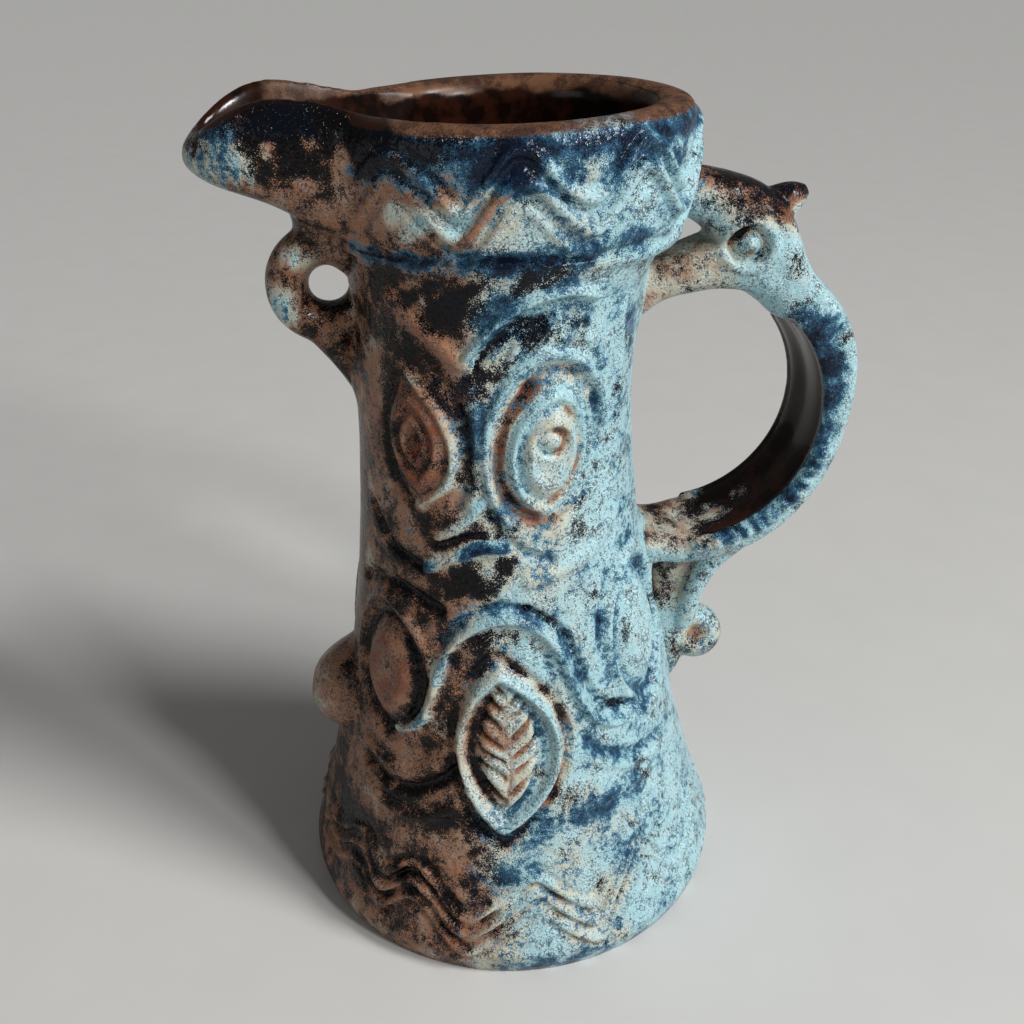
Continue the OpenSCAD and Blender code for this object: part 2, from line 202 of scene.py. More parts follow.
def ball(bm, at, half):
    """A rounded lump of clay with its half sizes along X, Y and Z."""
    place = Matrix.Translation(at) @ Matrix.Diagonal((*half, 1.0))
    bmesh.ops.create_icosphere(bm, subdivisions=4, radius=1.0, matrix=place)


def as_object(bm, name):
    """An object of the bmesh, still in millimetres."""
    bmesh.ops.recalc_face_normals(bm, faces=bm.faces)
    mesh = bpy.data.meshes.new(name)
    bm.to_mesh(mesh)
    bm.free()
    obj = bpy.data.objects.new(name, mesh)
    bpy.context.scene.collection.objects.link(obj)
    return obj


def settle(obj):
    """Applies an object's modifiers to its mesh."""
    bpy.context.view_layer.update()
    done = bpy.data.meshes.new_from_object(obj.evaluated_get(bpy.context.evaluated_depsgraph_get()))
    obj.modifiers.clear()
    obj.data = done


def carve(obj, cutters):
    """Cuts the cutters' shapes out of an object."""
    for cutter in cutters:
        cut = obj.modifiers.new("carve", "BOOLEAN")
        cut.operation = "DIFFERENCE"
        cut.solver = "EXACT"
        cut.object = cutter
    settle(obj)


def fuse(parts, name, voxel):
    """Welds overlapping lumps into one skin."""
    bm = bmesh.new()
    for part in parts:
        bm.from_mesh(part.data)
        bpy.data.objects.remove(part)
    obj = as_object(bm, name)
    weld = obj.modifiers.new("weld", "REMESH")
    weld.mode = "VOXEL"
    weld.voxel_size = voxel
    settle(obj)
    return obj


def points_of(obj):
    """The vertex places of an object's mesh, one row each."""
    co = np.empty(len(obj.data.vertices) * 3)
    obj.data.vertices.foreach_get("co", co)
    return co.reshape(-1, 3)


def normals_of(obj):
    """The vertex normals of an object's mesh, one row each."""
    co = np.empty(len(obj.data.vertices) * 3)
    obj.data.vertices.foreach_get("normal", co)
    return co.reshape(-1, 3)


def move_points(obj, co):
    """Puts an object's vertices at new places."""
    obj.data.vertices.foreach_set("co", co.ravel())
    obj.data.update()


def soften(obj, rounds, where=None):
    """Smooths an object's skin, or only the vertices that where marks."""
    bm = bmesh.new()
    bm.from_mesh(obj.data)
    verts = list(bm.verts) if where is None else [v for v, inside in zip(bm.verts, where) if inside]
    for _ in range(rounds):
        bmesh.ops.smooth_vert(bm, verts=verts, factor=0.5, use_axis_x=True, use_axis_y=True, use_axis_z=True)
    bm.to_mesh(obj.data)
    bm.free()


def finish_piece(obj, coats, material, slot, *nodes):
    """Stores the painted coats, brings the piece to metres and gives it its place in the jug."""
    for name, values in coats.items():
        layer = obj.data.attributes.new(name, "FLOAT", "POINT")
        layer.data.foreach_set("value", np.asarray(values, np.float32))
    obj.data.transform(Matrix.Scale(MM, 4))
    obj.data.materials.clear()
    obj.data.materials.append(material)
    obj.data.shade_smooth()
    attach(obj, "root")
    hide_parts(*nodes)


# Ornament pressed and painted on a round wall

class Wall:
    """A round wall unrolled: where each vertex is, how far it is raised, and the coats painted on it.

    The far side is folded onto the near one, so that both carry the same ornament.
    """

    def __init__(self, azimuth, z, radius):
        self.a = -np.abs(azimuth)
        self.z = z
        self.arc = np.radians(1) * radius
        self.relief = np.zeros_like(z)
        self.coats = {"blue": np.zeros_like(z), "dark": np.zeros_like(z), "tan": np.zeros_like(z)}
        across = self.a * self.arc
        self.cloud = 0.9 + 0.4 * np.sin(across / 2.9 + z / 6.1) * np.sin(z / 4.3 - across / 5.2)
        self.cloud += 0.25 * np.sin(across / 1.7 - z / 2.6 + np.sin(z / 9))

    def reach(self, points, margin):
        """Distance over the wall to a smooth line of azimuth and height points, infinite far from it."""
        line = np.array(points, float)
        line[:, 0] *= np.mean(self.arc)
        line = smooth_path(line, LINE_STEP)
        line[:, 0] /= np.mean(self.arc)
        wide = margin / self.arc
        near = (self.a > line[:, 0].min() - wide) & (self.a < line[:, 0].max() + wide)
        near &= (self.z > line[:, 1].min() - margin) & (self.z < line[:, 1].max() + margin)
        spot = np.flatnonzero(near)
        far = np.full_like(self.z, np.inf)
        across = (self.a[spot, None] - line[None, :, 0]) * self.arc[spot, None]
        along = self.z[spot, None] - line[None, :, 1]
        far[spot] = np.sqrt((across ** 2 + along ** 2).min(1)) if len(spot) else 0
        return far

    def line(self, points, width, height=0.0, **coats):
        """A ridge, or a groove of negative height, with coats painted along it a little wider."""
        far = self.reach(points, 2.2 * width)
        self.relief += height * bell(far / width)
        self.paint(0.75 * bell(far / (1.6 * width)), **coats)

    def wash(self, points, width, **coats):
        """A broad brush stroke of coats, with no relief."""
        self.paint(bell(self.reach(points, 1.1 * width) / width), **coats)

    def paint(self, mask, **coats):
        """Adds coats where a mask is, unevenly, as a brush does."""
        for name, amount in coats.items():
            self.coats[name] += amount * mask * self.cloud

    def swell(self, azimuth, z, wide, high, height):
        """A soft swelling, with its half sizes round the wall and up it."""
        far = np.hypot((self.a - azimuth) * self.arc / wide, (self.z - z) / high)
        self.relief += height * bell(far)

    def oval(self, centre, half_w, half_h, tilt=0.0, point=0.0, belly=0.0):
        """Distance from an oval's middle as a share of its size, and the offsets.

        Point sharpens its ends, and belly moves its middle sideways from them.
        """
        u = (self.a - centre[0]) * self.arc
        v = self.z - centre[1]
        turn = math.radians(tilt)
        across = (u * math.cos(turn) - v * math.sin(turn)) / half_w
        along = (u * math.sin(turn) + v * math.cos(turn)) / half_h
        across -= belly / half_w * np.clip(1 - along ** 2, 0, 1)
        ring = np.hypot(across, along)
        lens = (np.abs(across) + np.sqrt(across ** 2 + 4 * along ** 2)) / 2
        return (1 - point) * ring + point * lens, across * half_w, along * half_h


def press_spout_eye(wall):
    """The pointed eye towards the spout, with rings in it and a ridge round it."""
    share, _, _ = wall.oval(SPOUT_EYE, 9.6, 18.5, tilt=-5, point=0.75)
    wall.relief += 2.3 * ease(1.0, 0.66, share)
    wall.relief += 0.75 * np.cos(share * 20) * ease(0.9, 0.5, share)
    wall.paint(ease(1.1, 0.8, share), tan=0.55, dark=-0.05)
    wall.paint(bell((share - 0.47) / 0.12), dark=0.2)
    # The ridge round the eye's handle side is painted pale: partly pale glaze, partly a painted highlight
    # along its crest.
    wall.line([(-132, 179), (-125, 174), (-118, 168), (-114, 160), (-114.5, 152), (-119, 147),
               (-127, 142.5)], 1.7, 2.1, blue=0.2, dark=-0.75, tan=-0.7)
    wall.line([(-137, 177), (-143, 167), (-144, 156), (-140, 148), (-133, 142)], 2.2, -1.2, dark=0.5)
    wall.line([(-122, 180), (-113, 172), (-109, 162), (-109, 150), (-113, 143)],
              2.6, -1.4, dark=0.05, blue=0.4)
    wall.line([(-107, 176), (-104.5, 165), (-104.5, 152), (-107, 144)], 2.4, 1.0, blue=0.35, dark=0.1)


def press_handle_eye(wall):
    """The round eye towards the handle, with its pupil, its trench and the ridges round it."""
    share, u, _ = wall.oval(HANDLE_EYE, 10.6, 17.2, tilt=9, point=0.25)
    wall.relief += 2.6 * ease(1.06, 0.86, share)
    wall.relief -= 1.8 * bell((share - 0.76) / 0.17)
    wall.relief += 0.7 * bell((share - 0.5) / 0.12)
    wall.paint(ease(1.2, 0.9, share), dark=-0.3)
    wall.paint(bell((share - 0.95) / 0.16), dark=-0.5, tan=-0.7)
    wall.paint(bell((share - 0.76) / 0.16) * ease(-1, 4, u), dark=0.3, tan=0.5)
    wall.paint(bell((share - 0.76) / 0.16) * ease(3, -3, u), blue=0.35, tan=-0.4)
    beside = (wall.a - PUPIL[0]) * wall.arc
    pupil = np.hypot((wall.z - PUPIL[1]) * 1.1, beside)
    wall.relief += 1.2 * bell(pupil / 2.8)
    wall.relief -= 0.9 * bell((pupil - 3.5) / 1.5)
    wall.relief += 0.6 * bell((pupil - 5.6) / 1.4)
    wall.paint(bell((pupil - 3.6) / 1.9) * ease(-1, 2, beside), dark=0.75, tan=0.9)
    wall.paint(bell((pupil - 3.6) / 1.6) * ease(1, -2, beside), blue=0.4)
    wall.line([(-84, 175), (-90, 170), (-95, 164), (-97, 156), (-96, 149), (-91, 143), (-84, 139.5)],
              2.6, -2.0, dark=0.6, tan=1.3)
    wall.line([(-86, 175.5), (-79, 178.5), (-70, 178.5), (-62, 174.5), (-56, 168)],
              2.4, -1.1, tan=0.8, dark=-0.2)
    wall.line([(-93, 139), (-98, 145), (-100.5, 153), (-100.5, 162), (-98, 170), (-92, 177.5), (-83, 182.5),
               (-73, 183), (-63, 179.5), (-54, 171.5), (-50, 161)], 2.2, 2.0, blue=0.28, dark=-0.6, tan=-0.5)
    wall.line([(-56, 169), (-54, 160), (-56, 150), (-63, 141), (-73, 136.5)], 2.4, -1.1, blue=0.1)
    wall.line([(-58, 170), (-57.5, 158), (-61, 147), (-69, 140)], 1.8, 0.9)


def press_brows(wall):
    """The brows over the eyes and the small marks above and beside them."""
    wall.line([(-139, 197), (-131, 193), (-124, 189), (-118, 185.5), (-111, 182)],
              3.2, 1.6, tan=0.2, dark=-0.9)
    wall.line([(-108, 184.5), (-104, 188), (-99, 192), (-93, 195.5), (-85, 198.5), (-74, 199.5), (-62, 197)],
              2.0, 2.6, dark=-2.4, tan=-0.8)
    wall.line([(-105, 183), (-99, 187.5), (-92, 191), (-82, 193.5)], 2.6, -1.3, dark=0.5, blue=0.3)
    wall.line([(-83, 186), (-80.5, 190), (-77, 194)], 1.8, 1.5, blue=0.3)
    wall.line([(-87, 186), (-86, 191), (-84, 195)], 1.6, 1.3, blue=0.4, dark=0.3)
    wall.line([(-68, 190), (-66, 194), (-63, 190)], 1.6, 1.5, blue=0.4)
    wall.line([(-92, 183), (-90, 187.5)], 2.0, 1.2, dark=0.5)
    wall.line([(-74, 187), (-66, 187), (-58, 183), (-52, 177)], 1.7, 1.1, blue=0.3)
    wall.line([(-44, 190), (-40, 178), (-40, 164), (-43, 150)], 2.4, 0.9, blue=0.2)


def press_middle(wall):
    """The mouth line and the folds between the eyes and the panels."""
    wall.line([(-103, 144), (-110, 138.5), (-120, 133.5)], 2.2, 1.2, dark=-0.8, tan=-0.6, blue=0.25)
    wall.line([(-100, 141), (-96, 135), (-90, 131), (-84, 128), (-77, 126)], 2.4, -1.4, blue=0.45, dark=0.2)
    wall.line([(-125, 124.5), (-118, 127), (-111, 129.5), (-103, 131.5), (-96, 131.5)], 2.0, 2.3, blue=1.5,
              dark=-1.4, tan=-0.8)
    wall.line([(-121, 131.5), (-112, 133.5), (-103, 135)], 1.7, -1.3, dark=0.8)
    wall.line([(-156, 136), (-149, 131), (-143, 127), (-137, 125.5), (-129, 124)], 2.4, -1.6, dark=0.7)
    wall.line([(-86, 121), (-72, 123), (-60, 125.5), (-52, 129.5), (-44, 134)], 3.6, 1.3, dark=-0.3)
    wall.line([(-162, 112), (-152, 115), (-142, 116), (-131, 114.5), (-121, 112)], 3.2, -1.9, dark=0.7)


def press_oval(wall, share, rise, ring, off_arch):
    """A raised oval with a groove round it, and a ring beyond that stops short of the arch."""
    wall.relief += rise * ease(1.02, 0.6, share)
    wall.relief -= 1.5 * bell((share - 1.2) / 0.2)
    wall.relief += ring * off_arch * bell((share - 1.5) / 0.22)


def press_panels(wall):
    """The arch over the leaf, the ovals beside it and the curls below."""
    arch = [(-138, 72), (-131, 75), (-126.5, 79), (-123.5, 86), (-121.5, 93), (-118, 99.5), (-112, 105.5),
            (-104.5, 109.5), (-96.5, 111), (-89, 109.5), (-82.5, 105.5), (-78, 99.5), (-75, 92.5),
            (-72, 84.5), (-67.5, 77), (-61, 73), (-53, 71), (-45, 70.5)]
    wall.line(arch, 2.3, 2.5, dark=-0.8, tan=-0.7, blue=0.35)
    off_arch = 1 - bell(wall.reach(arch, 6.0) / 5.5)
    wall.line([(-121, 102.5), (-115, 108), (-107, 112.5), (-99, 114.8), (-95, 114.5), (-88, 112.8)],
              2.0, -1.2, blue=0.75, dark=0.2)
    wall.line([(-88, 112.8), (-80, 108.5), (-74.5, 103), (-71, 96), (-68.5, 88), (-65, 81.5), (-59, 77.5),
               (-50, 75)], 2.2, -1.9, blue=0.55, dark=0.4)
    wall.line([(-52, 116), (-57, 109), (-60, 101), (-60.5, 94)], 1.5, -1.0, blue=0.4)
    wall.line([(-116, 99), (-110, 104), (-103, 107), (-97, 107.5)], 2.4, -1.0, dark=0.6)
    wall.line([(-84, 101), (-82, 94), (-80, 86)], 2.0, -0.8, blue=0.5)
    share, _, _ = wall.oval(SPOUT_OVAL, 10.5, 15.0, tilt=-6, point=0.45)
    press_oval(wall, share, 2.4, 1.5, off_arch)
    wall.paint(ease(1.0, 0.6, share), tan=0.4, dark=-1.2)
    wall.paint(bell((share - 1.15) / 0.25), dark=0.55)
    share, _, _ = wall.oval(HANDLE_OVAL, 10.0, 17.0, tilt=5, point=0.4)
    press_oval(wall, share, 2.2, 1.6, off_arch)
    wall.paint(bell((share - 1.25) / 0.3), blue=0.4)
    wall.line([(-116, 63), (-120, 60), (-124, 57.5), (-130, 55), (-139, 53.5), (-152, 56)],
              2.8, -2.0, dark=0.5)
    wall.line([(-116, 72), (-122, 65.5), (-129, 60.5), (-138, 59), (-152, 62)], 3.0, 1.4, dark=-0.2)
    wall.line([(-72, 72), (-68, 67), (-60, 62.5), (-50, 59), (-36, 57.5)], 2.0, -1.4, blue=0.4)
    wall.line([(-70, 64), (-62, 59.5), (-52, 56), (-40, 54.5)], 2.4, 1.0)
    wall.line([(-150, 49), (-138, 46), (-127, 47), (-117, 52), (-112, 58)], 2.6, 1.2)


def press_leaf(wall):
    """The leaf in its pointed frame, with a midrib and slanting veins."""
    share, u, _ = wall.oval(LEAF_FRAME, 14.0, 23.6, point=0.7, belly=2.3)
    wall.relief += 2.5 * bell((share - 0.98) / 0.14)
    wall.relief -= 1.2 * ease(0.98, 0.84, share)
    wall.paint(bell((share - 0.98) / 0.2), dark=-0.9, tan=-0.3, blue=-0.2)
    wall.relief -= 1.3 * bell((share - 1.2) / 0.16)
    wall.paint(bell((share - 1.2) / 0.2) * ease(-3, 3, u), dark=0.6, tan=0.7)
    wall.paint(bell((share - 1.2) / 0.2) * ease(3, -3, u), dark=0.35)
    wall.paint(bell((share - 0.78) / 0.14) * ease(0, -4, u), dark=0.8, tan=0.5)
    wall.paint(bell((share - 0.72) / 0.16) * ease(0, 4, u), blue=0.45, dark=-0.3)
    share, u, v = wall.oval(LEAF, 8.0, 19.5, tilt=1, point=0.6, belly=0.6)
    u = u + 0.7 * np.sin(v / 4.2)
    slant = v - 0.75 * np.abs(u) + 0.7 * np.sin(v / 2.9 + 1.0) + np.where(u < 0, 2.4, 0.0)
    gash = bell(((slant / 5.3) % 1 - 0.5) / 0.29)
    blade = ease(1.08, 0.84, share + 0.16 * gash)
    wall.relief += 2.3 * blade
    wall.paint(ease(1.05, 0.8, share), dark=-1.0, tan=0.12, blue=-0.7)
    gash *= ease(1.15, 0.9, share) * ease(0.2, 1.8, np.abs(u))
    midrib = bell(u / 1.0) * ease(1.0, 0.85, share)
    wall.relief -= 1.7 * gash + 0.6 * midrib
    wall.paint(np.maximum(gash, 0.35 * midrib), dark=0.75, tan=0.8)


# Lines of the foot's comb: height above the wave, relief, and the dark and tan that gather there
COMB = ((0, 1.6, -0.3, 0.0), (2.6, -1.4, 0.3, 0.5), (5.2, 1.2, -0.2, 0.0), (7.8, -0.8, 0.2, 0.2),
        (-2.6, -1.3, 0.2, 0.6), (-5.2, 1.1, -0.2, 0.0), (-7.8, -0.8, 0.1, 0.3))


def press_foot(wall):
    """The wavy combed band round the foot, strongest in front."""
    wave = [(-172, 22), (-160, 22), (-152, 27), (-146, 27), (-142, 22), (-137, 20), (-131, 25), (-127, 27),
            (-122, 24), (-116, 17), (-111, 13.5), (-105, 17), (-98, 22.5), (-92, 27), (-87, 23.5), (-81, 18),
            (-75, 15), (-70, 20), (-65, 26), (-60, 31), (-55, 27), (-49, 20), (-43, 16), (-35, 20),
            (-28, 26), (-22, 24), (-15, 19), (-8, 16), (0, 16)]
    fade = 1 - 0.25 * ease(-82, -60, wall.a) - 0.25 * np.sin(wall.a / 9) - 0.3 * ease(-55, -25, wall.a)
    combed = np.zeros_like(wall.z)
    for lift, height, dark, tan in COMB:
        far = wall.reach([(a, z + lift + 0.6 * math.sin(a / 3.7 + lift)) for a, z in wave], 4.0)
        combed += height * bell(far / 1.8)
        wall.paint(0.75 * bell(far / 2.0) * fade, dark=dark, tan=tan)
    wall.relief += combed * fade * wall.cloud


# Where the glaze ran thick or thin: coat, amount, brush width, and points of azimuth and height
WASHES = (
    ("blue", 1.1, 9, [(-140, 232), (-118, 230), (-95, 231)]),
    ("blue", 0.62, 9, [(-95, 231), (-72, 229), (-55, 232), (-30, 234)]),
    ("blue", 0.55, 3.5, [(-136, 73), (-126.5, 79), (-123, 88), (-119, 98)]),
    ("dark", 0.4, 3, [(-138, 72), (-131, 75), (-126.5, 79)]),
    ("dark", -0.4, 10, [(-150, 215), (-132, 218), (-116, 216)]),
    ("dark", -0.8, 8, [(-148, 223), (-135, 225), (-122, 223)]),
    ("dark", 0.4, 14, [(-152, 190), (-132, 192), (-118, 186)]),
    ("dark", 0.45, 10, [(-150, 131), (-136, 128), (-122, 133)]),
    ("dark", 0.4, 9, [(-150, 234), (-135, 228), (-122, 227), (-108, 230)]),
    ("blue", 0.5, 7, [(-148, 228), (-136, 230), (-124, 226)]),
    ("dark", 1.0, 12, [(-178, 232), (-162, 232), (-148, 230)]),
    ("dark", -0.7, 6, [(-138, 216), (-124, 217), (-110, 216), (-96, 216), (-80, 216)]),
    ("tan", -0.9, 6, [(-133, 217), (-122, 217), (-112, 218)]),
    ("blue", 0.95, 4.5, [(-100, 208), (-75, 209), (-55, 211)]),
    ("blue", 1.6, 4.5, [(-160, 206.5), (-145, 207), (-130, 207.5), (-100, 208)]),
    ("dark", -0.6, 4, [(-155, 206.5), (-135, 207), (-118, 207)]),
    ("dark", 0.4, 9, [(-110, 199), (-97, 204), (-82, 204)]),
    ("dark", 0.5, 8, [(-102, 191), (-91, 194), (-80, 191)]),
    ("blue", 0.4, 8, [(-102, 191), (-91, 194), (-76, 192)]),
    ("dark", 0.75, 9, [(-142, 203), (-128, 199), (-117, 197), (-108, 200)]),
    ("blue", 0.45, 10, [(-120, 200), (-105, 194), (-90, 203), (-78, 203)]),
    ("dark", 0.7, 8, [(-94, 202), (-86, 196), (-80, 190), (-76, 192)]),
    ("dark", -0.7, 4.5, [(-100, 205), (-99, 198)]),
    ("dark", 0.5, 7, [(-104, 186), (-97, 182), (-104, 176), (-107, 168), (-107, 150)]),
    ("blue", 0.5, 7, [(-110, 178), (-105, 170), (-104, 158)]),
    ("dark", -1.2, 4.5, [(-114, 185), (-110, 183)]),
    ("dark", -1.1, 3.2, [(-102, 166), (-101, 164)]),
    ("dark", -1.1, 2.8, [(-111.5, 157), (-111.5, 154)]),
    ("dark", -1.1, 5.0, [(-119, 143), (-114, 146)]),
    ("dark", 0.5, 7, [(-150, 192), (-144, 184), (-146, 176)]),
    ("dark", -0.8, 6, [(-157, 166), (-153, 158)]),
    ("dark", -0.7, 5, [(-158, 196), (-152, 194)]),
    ("dark", 0.7, 5, [(-103, 142), (-98, 138), (-93, 134)]),
    ("dark", -1.0, 5, [(-135, 134), (-133, 131)]),
    ("dark", 1.9, 8, [(-119, 120.5), (-108, 122.5), (-97, 124)]),
    ("dark", -0.9, 6, [(-124, 119), (-118, 117), (-112, 117)]),
    ("dark", -0.8, 5, [(-93, 121), (-87, 122)]),
    ("dark", -0.5, 6, [(-153, 124), (-147, 121)]),
    ("dark", 0.8, 6, [(-109, 102), (-101, 105)]),
    ("dark", -0.5, 7, [(-115, 92), (-112, 85)]),
    ("dark", -0.8, 6, [(-92, 101), (-87, 95)]),
    ("tan", -0.5, 6, [(-92, 101), (-87, 95)]),
    ("blue", 0.55, 6, [(-58, 104), (-53, 95), (-55, 86)]),
    ("dark", -0.7, 7, [(-158, 66), (-145, 67), (-132, 66)]),
    ("blue", 0.5, 6.5, [(-70, 68), (-62, 64), (-52, 62)]),
    ("dark", 0.8, 6, [(-137, 50), (-128, 48), (-121, 47)]),
    ("dark", -0.8, 6, [(-162, 47), (-150, 45), (-141, 43)]),
    ("dark", -0.6, 5, [(-118, 40), (-112, 36)]),
    ("dark", 0.8, 6, [(-163, 35), (-150, 34), (-139, 34)]),
    ("dark", 0.7, 6, [(-135, 28), (-128, 26)]),
    ("dark", 0.6, 5, [(-117, 52), (-110, 47)]),
    ("blue", 0.7, 7, [(-106, 49), (-96, 46.5), (-84, 47), (-70, 48), (-54, 51)]),
    ("blue", 0.85, 5.5, [(-107, 33), (-100, 33), (-93, 35)]),
    ("blue", 0.5, 6, [(-66, 34), (-54, 33), (-44, 32)]),
    ("blue", 0.9, 6, [(-100, 1), (-88, 4), (-74, 2)]),
    ("blue", 0.7, 4, [(-70, 0), (-50, 1), (-25, 1)]),
    ("blue", 0.9, 5, [(-40, 124), (-36, 123)]),
    ("blue", 0.9, 6, [(-36, 185), (-31, 180)]),
    ("tan", 0.35, 12, [(-88, 140), (-80, 133), (-92, 128)]),
    ("tan", 0.3, 8, [(-82, 143), (-76, 139)]),
)


def press_roots(wall):
    """The knob on the spout side, and the clay drawn up round the roots of the handle and the lug."""
    far = np.hypot((wall.a + 180) * wall.arc, wall.z - KNOB_Z) / KNOB_R
    wall.relief += KNOB_RISE * np.sqrt(bell(far ** 1.4))
    wall.swell(0, 109, 21, 15, 3.5)
    wall.swell(0, 187, 17, 16, 3.0)
    wall.swell(0, 74, 12, 24, 2.6)
    wall.swell(-180, 174, 12, 16, 3.0)


def press_ornament(wall):
    """Everything that is pressed into the foot and the body."""
    press_spout_eye(wall)
    press_handle_eye(wall)
    press_brows(wall)
    press_middle(wall)
    press_panels(wall)
    press_leaf(wall)
    press_foot(wall)
    press_roots(wall)


def hand_marks(azimuth, z):
    """The small unevenness of a wall shaped by hand."""
    a = np.radians(azimuth)
    slow = np.sin(2 * a + 0.7) * np.sin(z / 31 + 0.4) + np.sin(3 * a - 1.1 + z / 45)
    quick = np.sin(7 * a + z / 9.0) * np.sin(z / 6.3 - 2 * a)
    return 0.22 * slow + 0.10 * quick


def base_coats(wall):
    """The two-sided glaze: iron brown and tan to the spout, pale and bluish to the handle. The darker,
    warmer spout side is partly the glaze's own tone and partly painted shade and warm light.
    """
    # Painted shade and warm light: more dark and tan towards the spout side, and less blue.
    wall.coats["dark"] += 0.62 * ease(-86, -122, wall.a) - 0.52
    wall.coats["tan"] += 0.20 + 0.66 * ease(-92, -118, wall.a) - 0.24 * ease(-76, -50, wall.a)
    wall.coats["blue"] += 0.10 - 0.42 * ease(-100, -122, wall.a)
    for coat, amount, width, points in WASHES:
        wall.wash(points, 1.15 * width, **{coat: 0.75 * amount})


def thrown_wall(name, low, high):
    """A stretch of the jug's wall between two heights, with its ornament."""
    outer = np.arange(low, high, WALL_RISE)
    outer = np.append(outer, high)
    inner = np.linspace(high, max(low, FLOOR_TOP - 2), 16)
    profile = [(wall_radius(z), z) for z in outer]
    profile += [(wall_radius(z) - WALL_T, z) for z in inner]
    if low < FLOOR_TOP:
        profile += [(FOOT_R - FOOT_ROLL_IN - WALL_T, low)]
    obj = as_object(turned(profile, WALL_STEPS), name)
    co = points_of(obj)
    z = co[:, 2]
    radius = np.hypot(co[:, 0], co[:, 1])
    azimuth = np.degrees(np.arctan2(co[:, 1], co[:, 0]))
    outside = radius > wall_radius(z) - WALL_T / 2
    wall = Wall(azimuth, z, radius)
    base_coats(wall)
    press_ornament(wall)
    relief = np.where(outside, wall.relief, 0)
    push = (relief + np.where(outside, hand_marks(azimuth, z), 0)) * ease(0, 4, z)
    co[:, :2] *= (1 + push / radius)[:, None]
    co[:, 0] += lean(z)
    move_points(obj, co)
    coats = dict(wall.coats, relief=relief, inside=np.where(outside, 0.0, 1.0))
    return obj, coats


# Shader writing

class Value:
    """A socket that takes part in sums, so that a mask reads as an expression."""

    def __init__(self, recipe, socket):
        self.recipe = recipe
        self.socket = socket

    def math(self, operation, first, second):
        """A Math node on two values or numbers."""
        return self.recipe.node("ShaderNodeMath", {"operation": operation}, {0: first, 1: second})

    def __add__(self, other):
        return self.math("ADD", self, other)

    def __radd__(self, other):
        return self.math("ADD", other, self)

    def __sub__(self, other):
        return self.math("SUBTRACT", self, other)

    def __rsub__(self, other):
        return self.math("SUBTRACT", other, self)

    def __mul__(self, other):
        return self.math("MULTIPLY", self, other)

    def __rmul__(self, other):
        return self.math("MULTIPLY", other, self)


class Recipe:
    """A glaze or clay material, built node by node."""

    def __init__(self, name):
        self.material = bpy.data.materials.new(name)
        self.material.use_nodes = True
        self.tree = self.material.node_tree
        self.shader = self.tree.nodes["Principled BSDF"]
        self.place = self.node("ShaderNodeTexCoord", {}, {}, "Object")

    def node(self, kind, settings, sockets, output=0):
        """A node with its settings, the values or links of its sockets, and one output as a value."""
        node = self.tree.nodes.new(kind)
        for name, value in settings.items():
            setattr(node, name, value)
        for name, value in sockets.items():
            self.feed(node.inputs[name], value)
        return Value(self, node.outputs[output])

    def feed(self, socket, value):
        """Links a value to a socket, or sets a number or a colour there."""
        if isinstance(value, Value):
            self.tree.links.new(value.socket, socket)
        else:
            socket.default_value = value

    def noise(self, size, detail=2.0, rough=0.5):
        """Noise with lumps of about this size in millimetres."""
        return self.node("ShaderNodeTexNoise", {}, {"Vector": self.place, "Scale": 1 / (size * MM),
                                                    "Detail": detail, "Roughness": rough})

    def coat(self, name):
        """A coat that was painted on the piece."""
        return self.node("ShaderNodeAttribute", {"attribute_name": name}, {}, "Fac")

    def step(self, value, low, high):
        """0 below low, 1 above high, smooth between."""
        return self.node("ShaderNodeMapRange", {"interpolation_type": "SMOOTHSTEP"},
                         {"Value": value, "From Min": low, "From Max": high})

    def mix(self, mask, under, over):
        """One colour laid over another where a mask is."""
        return self.node("ShaderNodeMix", {"data_type": "RGBA"}, {0: mask, 6: under, 7: over}, 2)

    def set(self, **sockets):
        """Feeds the shader's own sockets, with _ for the space in a name."""
        for name, value in sockets.items():
            self.feed(self.shader.inputs[name.replace("_", " ")], value)


def rgb(red, green, blue):
    """A colour as it shows on screen, 0 to 255, in the shader's linear scale."""
    def linear(c):
        """One channel, from the screen's curve to linear."""
        c /= 255
        return c / 12.92 if c <= 0.04045 else ((c + 0.055) / 1.055) ** 2.4
    return (linear(red), linear(green), linear(blue), 1.0)


# Glaze and clay colours
ASH_BLUE, ASH_CREAM, ASH_WHITE = rgb(157, 195, 202), rgb(190, 188, 170), rgb(208, 233, 236)
THIN_TAN, BURNT_TAN = rgb(148, 106, 81), rgb(121, 68, 44)
SPECK_BLUE, SPECK_BROWN = rgb(40, 60, 70), rgb(40, 26, 20)
COBALT_THIN, COBALT, COBALT_DEEP = rgb(94, 142, 162), rgb(40, 76, 102), rgb(13, 24, 44)
IRON_BROWN, IRON_BLUE = rgb(40, 24, 18), rgb(15, 26, 42)
IRON_BLACK, IRON_NAVY = rgb(9, 7, 7), rgb(8, 12, 21)
# The liner colours serve the brown glaze inside the jug and painted shade on the handle strap's inner face.
LINER_AND_SHADE_DARK, LINER_AND_SHADE_BROWN = rgb(18, 8, 6), rgb(44, 20, 12)
RIM_CLAY, RIM_SHADE = rgb(112, 78, 56), rgb(64, 43, 34)
FOOT_CLAY, FOOT_SHADE, FOOT_GRIT = rgb(170, 138, 108), rgb(134, 100, 76), rgb(74, 54, 44)
POOL_DARK, POOL_BROWN = rgb(34, 17, 12), rgb(66, 34, 22)
STAGE_GREY, STAGE_PALE = rgb(206, 205, 202), rgb(212, 211, 208)


